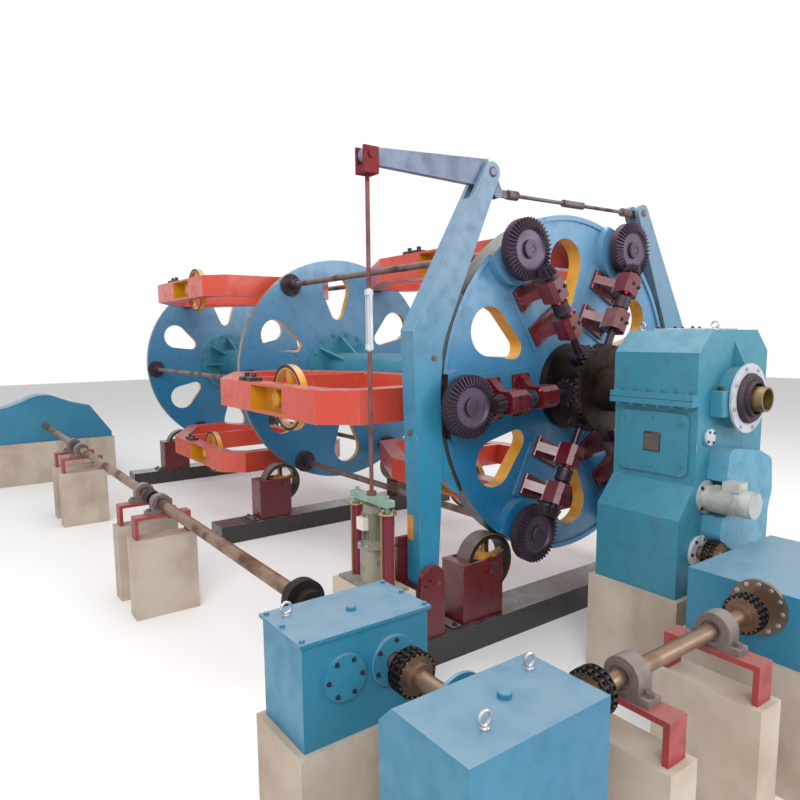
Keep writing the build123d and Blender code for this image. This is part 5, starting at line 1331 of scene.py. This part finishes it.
@dataclass
class Gearbox:
    """Main gearbox with its covers, nose, guard and barring motor."""

    sink: float = 0.002
    nose_bolt_radius: float = 0.185
    nose_seal: Profile = ((0, 0.0935), (0, 0.15), (0.012, 0.15), (0.03, 0.138), (0.03, 0.112),
                          (0.05, 0.108), (0.05, 0.0935))
    rib_foot: float = 0.17
    rib_size: float = 0.17
    lug_inner: float = 0.15
    lug_outer: float = 0.262
    covers: tuple[tuple[float, float, float], ...] = (
        (-0.261, -0.219, 0.05), (-0.106, -0.4175, 0.092), (-0.2475, -0.845, 0.06))
    output_y: float = -0.325
    flange: float = 0.035
    flange_bolts: int = 6
    seam: float = 0.0015
    eye_y: float = -0.2
    motor_drop: float = 0.575
    fin_length: float = 0.15
    cowl_depth: float = 0.072
    fan_cowl: Profile = ((0, 0), (0, 0.078), (0.05, 0.078), (0.066, 0.07), (0.0715, 0.052), (0.0715, 0))
    window_drop: float = 0.2675

    def dress(self) -> None:
        """Put finishes on the gearbox's own pieces."""
        low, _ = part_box("gearbox_body")
        window = BoxZone((-0.0555, low.y - 0.01, 1.45), (0.0555, low.y + 0.2, 1.57), (46, 38, 36))
        ring_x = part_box("bearing_nose")[1].x
        plate = BoxZone((ring_x - 0.0145, -1, 1), (ring_x + 0.01, 1, 3), (186, 186, 196))
        SHOP.dress("gearbox_body", replace(TEAL, name="gearbox body paint", chips=0.35, dirt=0.22,
                                           wear=0.25, zones=(window,)))
        SHOP.dress("gearbox_upper", replace(TEAL, name="gearbox upper paint", chips=0.15, dust_and_top_light_share=0.4,
                                            dirt=0.2, wear=0.2))
        SHOP.dress("bearing_nose", replace(TEAL, name="nose paint", chips=0.3, grain=0.25, dirt=0.3,
                                           zones=(plate,)))
        SHOP.dress("gear_guard", Paint("guard paint", (70, 138, 166), (86, 150, 176), chips=0.1,
                                       grain=0.5, wear=0.3))
        SHOP.dress("barring_motor", SILVER)

    def fit_nose(self) -> None:
        """Add the seal, the rib above the nose, its lugs and the bolts of its ring."""
        ring = axis_point(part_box("bearing_nose")[1].x)
        BOLTS.circle(BRIGHT_STEEL, ring, X_AXIS, self.nose_bolt_radius, 8, 0.017, 0.3)
        seal = Shape().lathe(ring, X_AXIS, self.nose_seal, 56, ring=True)
        seal.finish("nose_seal", DARK_IRON)
        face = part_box("gearbox_upper")[1].x
        foot = Vector((face - self.sink, -0.009, AXIS_HEIGHT + self.rib_foot))
        rib = Shape().prism([foot, foot + X_AXIS * (0.08 + self.sink), foot + Z_AXIS * self.rib_size],
                            Y_AXIS * 0.018)
        rib.finish("nose_rib", TEAL, bevel=0.002)
        lugs = Shape()
        for near, far in ((-self.lug_outer, -self.lug_inner), (self.lug_inner, self.lug_outer)):
            lugs.block((face - self.sink, near, AXIS_HEIGHT - 0.1),
                       (face + 0.078, far, AXIS_HEIGHT + 0.055))
        lugs.finish("nose_lugs", TEAL, bevel=0.006)
        for y in (-0.225, 0.225):
            BOLTS.add(DARK_IRON, Vector((face + 0.04, y, AXIS_HEIGHT + 0.055)), Z_AXIS, 0.034)

    def fit_covers(self) -> None:
        """Add the round covers on the front and the cover bolts."""
        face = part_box("gearbox_body")[1].x
        for number, (y, z, radius) in enumerate(self.covers, 1):
            centre = Vector((face, y, AXIS_HEIGHT + z))
            Shape().disc(centre, X_AXIS, radius + 0.012, 0.006).finish(f"cover_seat_{number}", TEAL)
            cover = Shape().disc(centre + X_AXIS * 0.006, X_AXIS, radius, 0.014)
            cover.finish(f"round_cover_{number}", PALE_PLATE)
            BOLTS.circle(DARK_IRON, centre + X_AXIS * 0.02, X_AXIS, radius * 0.78, 4, 0.011, 0.6)
        shaft = Vector((face, self.output_y, DRIVE_HEIGHT))
        cover = Shape().washer(shaft, X_AXIS, 0.0375, 0.098, 0.016)
        cover.finish("output_bearing_cover", PALE_PLATE)
        BOLTS.circle(DARK_IRON, shaft + X_AXIS * 0.016, X_AXIS, 0.08, 6, 0.014)

    def fit_split_line(self) -> None:
        """Bolt the upper housing to the lower body along their flanges."""
        low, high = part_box("gearbox_upper")
        seam = Shape()
        for side in (-1, 1):
            for number in range(self.flange_bolts):
                x = low.x + 0.05 + number * (high.x - low.x - 0.1) / (self.flange_bolts - 1)
                for up in (1, -1):
                    spot = Vector((x, side * (high.y - 0.02), AXIS_HEIGHT + up * self.flange))
                    BOLTS.add(TEAL, spot, Z_AXIS * up, 0.022)
            near, far = sorted((side * (high.y + 0.0005), side * (high.y - 0.0015)))
            seam.block((low.x, near, AXIS_HEIGHT - self.seam), (high.x, far, AXIS_HEIGHT + self.seam))
        seam.finish("split_line", DARK_IRON)

    def fit_top(self) -> None:
        """Add the inspection lids and lifting eyes on top."""
        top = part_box("gearbox_upper")[1].z
        lids = Shape().block((-0.17, -0.16, top - 0.001), (0.1, 0.16, top + 0.012))
        lids.block((0.13, -0.09, top - 0.001), (0.24, 0.09, top + 0.01))
        lids.finish("top_lids", PALE_PLATE, bevel=0.003)
        for x in (-0.15, -0.035, 0.08):
            for y in (-0.14, 0.14):
                BOLTS.add(DARK_IRON, Vector((x, y, top + 0.012)), Z_AXIS, 0.018)
        eyes = Shape()
        for x in (-0.225, 0.255):
            eyes.eye(Vector((x, self.eye_y, top - 0.001)), Y_AXIS, 0.018, 0.01, 0.032, 0.02)
        eyes.finish("gearbox_lifting_eyes", BRIGHT_STEEL)

    def fit_motor(self) -> None:
        """Add cooling fins, fan cover, grille and flange bolts of the barring motor."""
        low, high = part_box("barring_motor")
        axis = Vector((0, (low.y + high.y) / 2, AXIS_HEIGHT - self.motor_drop))
        fins = axis + X_AXIS * (low.x + 0.05 + self.fin_length / 2)
        RINGS.blocks("motor_fins", SILVER, [fins], X_AXIS, 40, 0.074, (0.014, 0.003, self.fin_length))
        cowl = Shape().lathe(axis + X_AXIS * (high.x - self.cowl_depth), X_AXIS, self.fan_cowl, 48)
        cowl.finish("motor_fan_cowl", SILVER)
        RINGS.blocks("motor_fan_grille", DARK_IRON, [axis + X_AXIS * (high.x - 0.0012)], X_AXIS, 20,
                     0.032, (0.03, 0.004, 0.002))
        BOLTS.circle(DARK_IRON, axis + X_AXIS * (low.x + 0.014), X_AXIS, 0.088, 4, 0.016, 0.8)

    def fit_side_cover(self) -> None:
        """Add the screws of the side cover and the glass of its window."""
        z = AXIS_HEIGHT - self.window_drop
        for x, height in ((-0.19, 0.13), (0.19, 0.13), (-0.19, -0.13), (0.19, -0.13), (0, 0.15),
                          (0, -0.15)):
            BOLTS.add(TEAL, Vector((x, -0.397, z + height)), -Y_AXIS, 0.014)
        glass = Shape().block((-0.05, -0.4045, z - 0.05), (0.05, -0.4032, z + 0.05))
        glass.finish("oil_window", Paint("window glass", (52, 42, 38), (92, 76, 62), "dark_steel",
                                         roughness=0.12, coat=1.0, chips=0.0, dirt=0.5, grain=0.0))

    def build(self) -> None:
        """Dress the gearbox and add its fittings."""
        self.dress()
        self.fit_nose()
        self.fit_covers()
        self.fit_split_line()
        self.fit_top()
        self.fit_motor()
        self.fit_side_cover()


@dataclass
class DriveLine:
    """Shafts, couplings, bearing stands and small gearboxes at the machine's foot."""

    chain_x: float = 0.382
    line_y: float = -2.525
    output_y: float = -0.325
    cross_x: float = 0.882
    coupling_ys: tuple[float, float] = (-0.975, -2.088)
    line_bearings: tuple[float, ...] = (-6.48, -6.017, -3.355, -2.88)
    cross_bearings: tuple[float, ...] = (-1.225, -1.875)
    chain_radius: float = 0.083
    chain_rollers: int = 20
    roller_shift: float = 0.018
    plate_shifts: tuple[float, ...] = (-0.031, -0.006, 0.006, 0.031)
    seal_inner: float = 0.046
    seal_outer: float = 0.066
    seal_height: float = 0.009
    shaft_bore: float = 0.038
    cover_height: float = 0.018

    def dress(self) -> None:
        """Put finishes on the drive line's own pieces."""
        blocks = BoxZone((-20, -4, 0.797), (20, 4, 2), (116, 102, 98))
        stand = Paint("line stand paint", (146, 44, 44), (160, 66, 62), chips=0.5, dirt=0.45,
                      roughness=0.5, zones=(blocks,))
        bands = ((-6.3005, -6.1795), (-3.1705, -3.0495), (-0.605, -0.405))
        collars = tuple(BoxZone((low, -3, 0), (high, -2, 1.5), (48, 42, 42)) for low, high in bands)
        SHOP.dress("line_shaft", replace(SHAFT_STEEL, name="line shaft steel", roughness=0.4,
                                         zones=collars))
        for finish, nodes in (
                (stand, ("line_shaft_stands", "cross_shaft_stands")),
                (SHAFT_STEEL, ("output_shaft", "cross_shaft", "corner_shaft")),
                (BOX_BLUE, ("right_angle_box", "corner_box", "transfer_box", "rear_gearbox")),
                (FOUNDATION, ("foundation_blocks",))):
            for node in nodes:
                SHOP.dress(node, finish)

    def fit_chain(self, name: str, body: str, centre: Vector, axis: Vector) -> None:
        """Wrap a two-strand roller chain round a coupling.

        Args:
            name: Name of the coupling.
            body: Body that it moves with.
            centre: Its middle.
            axis: Unit axis of the shaft.
        """
        count, radius = self.chain_rollers, self.chain_radius
        strands = [centre + axis * shift for shift in (-self.roller_shift, self.roller_shift)]
        RINGS.pins(f"{name}_chain_rollers", CHAIN_BLACK, strands, axis, count, radius, 0.0095, 0.02,
                   body)
        pitch = 2 * math.pi * radius / count
        sides = [centre + axis * shift for shift in self.plate_shifts]
        RINGS.blocks(f"{name}_chain_plates", CHAIN_BLACK, sides, axis, count, radius,
                     (0.015, pitch * 1.25, 0.003), math.pi / count, body)
        RINGS.pins(f"{name}_chain_pins", ROLLER_PIN, [centre], axis, count, radius, 0.004, 0.074, body)

    def fit_chains(self) -> None:
        """Wrap the chain of each coupling."""
        for name, y in (("output", self.output_y), ("corner", self.line_y)):
            middle = Vector((self.chain_x, y, DRIVE_HEIGHT))
            self.fit_chain(name, f"{name}_turning", middle, X_AXIS)
        for number, y in enumerate(self.coupling_ys, 1):
            middle = Vector((self.cross_x, y, DRIVE_HEIGHT))
            self.fit_chain(f"cross_{number}", "cross_turning", middle, Y_AXIS)

    def fit_bearing(self, name: str, centre: Vector, axis: Vector) -> None:
        """Add seal rings and bolts of a plummer block.

        Args:
            name: Name of the bearing.
            centre: Its middle on the shaft's axis.
            axis: Unit axis of the shaft.
        """
        seals = Shape()
        for start in (-0.04 - self.seal_height, 0.04):
            seals.washer(centre + axis * start, axis, self.seal_inner, self.seal_outer, self.seal_height)
        seals.finish(f"{name}_seals", CAST_GREY)
        for side in (-1, 1):
            foot = centre + Z_AXIS.cross(axis) * (side * 0.098) - Z_AXIS * 0.048
            BOLTS.add(CAST_GREY, foot, Z_AXIS, 0.026)

    def fit_bearings(self) -> None:
        """Add the fittings of each plummer block."""
        for number, x in enumerate(self.line_bearings, 1):
            self.fit_bearing(f"line_bearing_{number}", Vector((x, self.line_y, DRIVE_HEIGHT)), X_AXIS)
        for number, y in enumerate(self.cross_bearings, 1):
            self.fit_bearing(f"cross_bearing_{number}", Vector((self.cross_x, y, DRIVE_HEIGHT)), Y_AXIS)

    def fit_cover(self, name: str, centre: Vector, facing: Vector, radius: float) -> None:
        """Add a round bearing cover with its screws.

        Args:
            name: Name of the cover.
            centre: Middle of its seat.
            facing: Unit direction out of the wall.
            radius: Its radius.
        """
        Shape().washer(centre, facing, self.shaft_bore, radius, self.cover_height).finish(name, BOX_BLUE)
        BOLTS.circle(DARK_IRON, centre + facing * self.cover_height, facing, radius * 0.82, 6, 0.013, 0.4)

    def fit_boxes(self) -> None:
        """Add covers, lid screws, plugs and lifting eyes of the small gearboxes."""
        low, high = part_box("transfer_box")
        corner_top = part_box("corner_box")[1].z
        wall = 0.251
        self.fit_cover("transfer_shaft_cover", Vector((wall, self.line_y, DRIVE_HEIGHT)), X_AXIS, 0.105)
        BOLTS.circle(DARK_IRON, Vector((0.267, -2.75, DRIVE_HEIGHT)), X_AXIS, 0.074, 6, 0.013)
        for x in (low.x + 0.03, (low.x + wall) / 2, 0.24):
            for y in (low.y + 0.02, high.y - 0.02):
                BOLTS.add(BOX_BLUE, Vector((x, y, high.z)), Z_AXIS, 0.018)
        self.fit_cover("corner_shaft_cover", Vector((0.67, self.line_y, DRIVE_HEIGHT)), -X_AXIS, 0.12)
        self.fit_cover("corner_cross_cover", Vector((self.cross_x, -2.275, DRIVE_HEIGHT)), Y_AXIS, 0.12)
        BOLTS.circle(BRIGHT_STEEL, Vector((self.cross_x, -0.8605, DRIVE_HEIGHT)), -Y_AXIS, 0.112, 12,
                     0.015, body="cross_turning")
        eyes = Shape()
        for x, y, top in ((0.0, -2.86, high.z), (0.83, -2.36, corner_top), (0.99, -2.72, corner_top)):
            eyes.eye(Vector((x, y, top)), X_AXIS, 0.016, 0.012, 0.036, 0.022)
        eyes.finish("box_lifting_eyes", BRIGHT_STEEL)
        plugs = Shape().disc(Vector((0.1, -2.62, high.z)), Z_AXIS, 0.02, 0.018)
        plugs.disc(Vector((0.9, -2.55, corner_top)), Z_AXIS, 0.024, 0.02)
        plugs.finish("box_plugs", BOX_BLUE)

    def build(self) -> None:
        """Dress the drive line and add its fittings."""
        self.dress()
        self.fit_chains()
        self.fit_bearings()
        self.fit_boxes()


@dataclass
class Rollers:
    """Support rollers and their stands."""

    radius: float = 0.212
    rim: float = 0.036
    tread: float = 0.002
    hub_radius: float = 0.05
    spokes: int = 5
    spoke_start: float = 0.07
    spoke_end: float = 0.176
    rib_half: float = 0.006
    beam_height: float = 0.188

    def dress_roller(self, name: str, body: str) -> None:
        """Put a steel tread, a black rim and orange spokes on a roller, and ribs on its spokes.

        Args:
            name: Name of the roller.
            body: Body that it moves with.
        """
        low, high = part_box(name)
        middle = (low + high) / 2
        zones = []
        for inner, outer, colour, faces in (
                (self.radius - self.rim - self.tread, self.radius - self.tread, (34, 28, 26), Facing.ANY),
                (self.radius - self.tread, 1.0, (98, 86, 80), Facing.WALL),
                (-1.0, self.hub_radius, (60, 50, 46), Facing.ANY)):
            zones.append(RingZone(inner, outer, -1, 1, colour, faces, tuple(middle)))
        label = name.replace("_", " ")
        SHOP.dress(name, Paint(f"{label} paint", (206, 132, 16), (214, 150, 40), chips=0.5, dirt=0.4,
                               zones=tuple(zones)))
        ribs = Shape()
        for tip in ring_points(Vector((0, 0, 0)), Y_AXIS, Z_AXIS, 1.0, self.spokes, math.pi / 2):
            beside = X_AXIS.cross(tip)
            corners = []
            for along, side in ((self.spoke_start, -1), (self.spoke_end, -1), (self.spoke_end, 1),
                                (self.spoke_start, 1)):
                corners.append(middle + tip * along + beside * (side * self.rib_half) + X_AXIS * 0.011)
            ribs.prism(corners, X_AXIS * 0.03)
        ribs.finish(f"{name}_ribs", BLACK_BEAM, body)

    def dress_stand(self, place: str) -> None:
        """Put maroon paint on the boxes of a stand and black on its beam, and add its fittings.

        Args:
            place: Disc that it stands under.
        """
        node = f"{place}_roller_stand"
        low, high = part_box(node)
        beam = BoxZone((-20, -5, -1), (20, 5, self.beam_height + 0.0005), (34, 31, 33))
        SHOP.dress(node, Paint(f"{place} stand paint", (86, 10, 22), (100, 20, 30), roughness=0.24,
                               coat=0.4, wear=0.5, dust_and_top_light_share=0.2, chip=(190, 150, 140), zones=(beam,)))
        middle = (low.x + high.x) / 2
        top = self.beam_height + 0.014
        lugs = Shape()
        for side in (-1, 1):
            for facing in (-1, 1):
                spot = Vector((middle + facing * 0.113, side * 0.806 - 0.03, 0.516))
                BOLTS.add(MAROON, spot, X_AXIS * facing, 0.02)
            near, far = sorted((side * 1.12, side * 1.2))
            lugs.block((middle - 0.12, near, self.beam_height - 0.001), (middle + 0.12, far, top))
            for x in (middle - 0.09, middle + 0.09):
                BOLTS.add(DARK_IRON, Vector((x, side * 1.16, top)), Z_AXIS, 0.026)
        lugs.finish(f"{place}_stand_lugs", BLACK_BEAM, bevel=0.002)

    def build(self) -> None:
        """Dress the rollers and stands."""
        for place in ("front", "middle", "rear"):
            for hand in ("left", "right"):
                self.dress_roller(f"{place}_{hand}_roller", f"{place}_{hand}_wheel")
            self.dress_stand(place)


@dataclass
class Brake:
    """Brake levers, linkage and thruster."""

    lever_x: float = -1.01
    thickness: float = 0.13
    thruster_y: float = -1.778
    pin_y: float = 1.38
    pin_z: float = 0.58
    top_pin_y: float = 0.838
    top_pin_z: tuple[float, float] = (3.219, 3.125)
    lining_back: float = 1.2819
    pot_floor: float = 0.645
    pot_x: float = 0.166
    tie_bar: Profile = ((0, 0), (0, 0.006), (0.46, 0.006), (0.46, 0))
    handle_root: Point = (-1.1, -1.52, 0.8)
    handle_length: float = 0.08
    knob: Profile = ((0, 0), (0.002, 0.016), (0.02, 0.025), (0.04, 0.016), (0.044, 0))

    def dress(self) -> None:
        """Put finishes on the brake's own pieces."""
        x, y = self.lever_x, self.thruster_y
        for hand, side in (("left", -1), ("right", 1)):
            near, far = sorted((side * 1.40, side * 1.60))
            gap = BoxZone((x - 0.07, near, 0.838), (x, far, 1.001), (214, 140, 16))
            lining = RingZone(1.2, self.lining_back, x - 0.049, x + 0.049, (52, 42, 38))
            # Painted highlight: each lever's paint turns paler towards the top, as if lit from above.
            SHOP.dress(f"{hand}_brake_lever", Paint(
                f"{hand} lever paint", (18, 122, 158), (36, 132, 166), painted_top_light=(106, 136, 160),
                high_start=1.4, high_end=2.9, chips=0.45, wear=0.3, dirt=0.2, zones=(gap, lining)))
        SHOP.dress("bell_crank", Paint("bell crank paint", (90, 106, 134), (112, 124, 148),
                                       chips=0.4, dirt=0.3, wear=0.3))
        SHOP.dress("tie_rod", Metal("tie rod steel", (118, 108, 108), (80, 66, 64), roughness=0.45,
                                    rust=0.4))
        clevis = BoxZone((-2, -3, 3.05), (0, 0, 4), (112, 26, 34))
        buckle = BoxZone((-2, -3, 2.07), (0, 0, 2.44), (196, 200, 204))
        SHOP.dress("pull_rod", Metal("pull rod steel", (122, 78, 74), (84, 52, 48), roughness=0.5,
                                     metallic=0.5, rust=0.4, zones=(clevis, buckle)))
        SHOP.dress("crosshead", GREEN)
        SHOP.dress("lever_brackets", MAROON)
        pots = [BoxZone((x + near, -2, self.pot_floor), (x + far, -1.5, 1.2), (116, 20, 48))
                for near, far in ((-0.21, -0.125), (0.125, 0.21))]
        box = BoxZone((x - 0.04, y - 0.1, 0.98), (x + 0.04, y - 0.05, 1.07), (226, 218, 204))
        SHOP.dress("thruster", Paint("thruster paint", (134, 130, 116), (156, 150, 132),
                                     roughness=0.5, dirt=0.5, zones=(*pots, box)))

    def fit_levers(self) -> None:
        """Add pins and washers of the levers, and a bolt on the front and the edge of each."""
        front = self.lever_x + self.thickness / 2
        for hand, side, top in zip(("left", "right"), (-1, 1), self.top_pin_z):
            body = f"{hand}_lever"
            head = Vector((front, side * self.top_pin_y, top))
            if side > 0:
                pin = Shape().washer(head, X_AXIS, 0.022, 0.032, 0.004)
                pin.disc(head, X_AXIS, 0.0215, 0.012).finish(f"{body}_top_pin", CAST_GREY, body)
            else:
                washer = Shape().washer(head, X_AXIS, 0.0235, 0.034, 0.004)
                washer.finish(f"{body}_top_washer", CAST_GREY, body)
            BOLTS.add(CAST_GREY, Vector((front, side * 1.335, 2.02)), X_AXIS, 0.026, body)
            edge = Vector((self.lever_x, side * 1.4795, 1.55))
            BOLTS.add(CAST_GREY, edge, Y_AXIS * side, 0.028, body)

    def fit_thruster(self) -> None:
        """Add the motor's fins, the flange bolts, the spring rods and the small plate."""
        x, y = self.lever_x, self.thruster_y
        fin_paint = Paint("thruster fin paint", (120, 122, 108), (142, 138, 122), "grey_paint", dirt=0.5)
        RINGS.blocks("thruster_fins", fin_paint, [Vector((x, y, 1.0))], Z_AXIS, 26, 0.06,
                     (0.014, 0.003, 0.17))
        BOLTS.circle(BRIGHT_STEEL, Vector((x, y, 0.886)), Z_AXIS, 0.078, 6, 0.018)
        rods = Shape()
        for pot in (x - self.pot_x, x + self.pot_x):
            for rod in (y - 0.045, y + 0.045):
                rods.lathe(Vector((pot, rod, self.pot_floor)), Z_AXIS, self.tie_bar, 12)
            rods.washer(Vector((pot, y, 1.104)), Z_AXIS, 0.02, 0.058, 0.01)
            BOLTS.circle(BRIGHT_STEEL, Vector((pot, y, 1.114)), Z_AXIS, 0.045, 4, 0.017)
        rods.finish("spring_pot_rods", Metal("tie bar brass", (168, 140, 92), (104, 84, 60),
                                             "bronze_gear"))
        plate = Shape().block((x + 0.074, y - 0.024, 0.76), (x + 0.0795, y + 0.024, 0.8))
        plate.finish("thruster_plate", BRIGHT_STEEL, bevel=0.001)

    def fit_brackets(self) -> None:
        """Add the bolts of the lower pins and the handle behind the left bracket."""
        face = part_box("lever_brackets")[1].x - 0.01
        for y in (-self.pin_y, self.pin_y):
            BOLTS.circle(MAROON, Vector((face, y, self.pin_z)), X_AXIS, 0.06, 3, 0.018, 0.5)
        root, length = Vector(self.handle_root), self.handle_length
        handle = Shape().lathe(root, -Y_AXIS, [(0, 0), (0, 0.011), (length, 0.011), (length, 0)], 16)
        handle.lathe(root - Y_AXIS * length, -Y_AXIS, self.knob, 20)
        handle.finish("bracket_handle", BLACK_BEAM)

    def build(self) -> None:
        """Dress the brake and add its fittings."""
        self.dress()
        self.fit_levers()
        self.fit_thruster()
        self.fit_brackets()


@dataclass
class Studio:
    """Floor, lights and the camera at the photograph's place."""

    eye: Point = (2.2776, -3.951, 2.155)
    azimuth: float = 53.943
    pitch: float = -7.083
    roll: float = -0.485
    lens: float = 29.426
    shift: float = 0.0225
    floor_half: float = 30.0
    floor_shift: float = -4.0
    fill_light: float = 0.62

    def set_camera(self) -> None:
        """Make the camera."""
        data = bpy.data.cameras.new("camera")
        data.lens = self.lens
        data.sensor_width = 36.0
        data.sensor_fit = "HORIZONTAL"
        data.shift_y = self.shift
        data.clip_end = 200.0
        camera = bpy.data.objects.new("camera", data)
        turn = Matrix.Rotation(math.radians(self.azimuth), 4, "Z")
        tilt = Matrix.Rotation(math.radians(90 + self.pitch), 4, "X")
        lean = Matrix.Rotation(math.radians(self.roll), 4, "Z")
        camera.matrix_world = Matrix.Translation(self.eye) @ turn @ tilt @ lean
        bpy.context.scene.collection.objects.link(camera)
        bpy.context.scene.camera = camera

    def add_lamp(self, name: str, place: Point, aim: Point, size: float, power: float) -> None:
        """Add a soft lamp.

        Args:
            name: Its name.
            place: Where it stands.
            aim: What it points at.
            size: Width of its face.
            power: Its power in watts.
        """
        data = bpy.data.lights.new(name, "AREA")
        data.size = size
        data.energy = power
        lamp = bpy.data.objects.new(name, data)
        lamp.location = place
        lamp.rotation_euler = (Vector(aim) - Vector(place)).to_track_quat("-Z", "Y").to_euler()
        bpy.context.scene.collection.objects.link(lamp)

    def add_floor(self) -> None:
        """Lay the pale floor."""
        data = bpy.data.meshes.new("floor")
        near, far = self.floor_shift - self.floor_half, self.floor_shift + self.floor_half
        left, right = -self.floor_half, self.floor_half
        data.from_pydata([(near, left, 0), (far, left, 0), (far, right, 0), (near, right, 0)], [],
                         [(0, 1, 2, 3)])
        floor = bpy.data.objects.new("floor", data)
        tree = ShaderTree("pale floor")
        tree.set("Base Color", (0.86, 0.86, 0.86, 1.0))
        tree.set("Roughness", 0.9)
        data.materials.append(tree.material)
        bpy.context.scene.collection.objects.link(floor)

    def set_world(self) -> None:
        """Light the world softly and show it white to the camera and in reflections."""
        world = bpy.data.worlds.new("studio")
        world.use_nodes = True
        tree = NodeTree(world.node_tree)
        seen = tree.nodes.new("ShaderNodeLightPath").outputs
        white = seen["Is Camera Ray"]
        for ray in ("Is Glossy Ray", "Is Transmission Ray"):
            white = tree.add("ShaderNodeMath", {0: white, 1: seen[ray]}, operation="MAXIMUM").outputs[0]
        strength = tree.add("ShaderNodeMapRange", {"Value": white, "To Min": self.fill_light})
        background = tree.nodes["Background"].inputs
        tree.fill(background["Color"], (1, 1, 1, 1))
        tree.fill(background["Strength"], strength.outputs[0])
        bpy.context.scene.world = world

    def build(self) -> None:
        """Set the whole studio."""
        self.set_camera()
        self.add_floor()
        self.set_world()
        self.add_lamp("key lamp", (7.0, -9.0, 9.0), (-2.0, 0.0, 1.2), 7.0, 1050.0)
        self.add_lamp("top lamp", (-3.0, 0.0, 9.0), (-3.0, 0.0, 0.0), 9.0, 480.0)
        self.add_lamp("side lamp", (8.0, 5.0, 5.0), (-1.0, 0.0, 1.5), 5.0, 380.0)
        bpy.context.scene.view_settings.view_transform = "Standard"


def main() -> None:
    """Build every sub-assembly in order and make the fasteners."""
    logging.basicConfig(level=logging.INFO, format="%(message)s")
    for part in (Cage(), Spindles(), Train(), Gearbox(), DriveLine(), Rollers(), Brake(), Studio()):
        LOG.info("building %s", type(part).__name__)
        part.build()
    BOLTS.make()


if __name__ == "__main__":
    main()
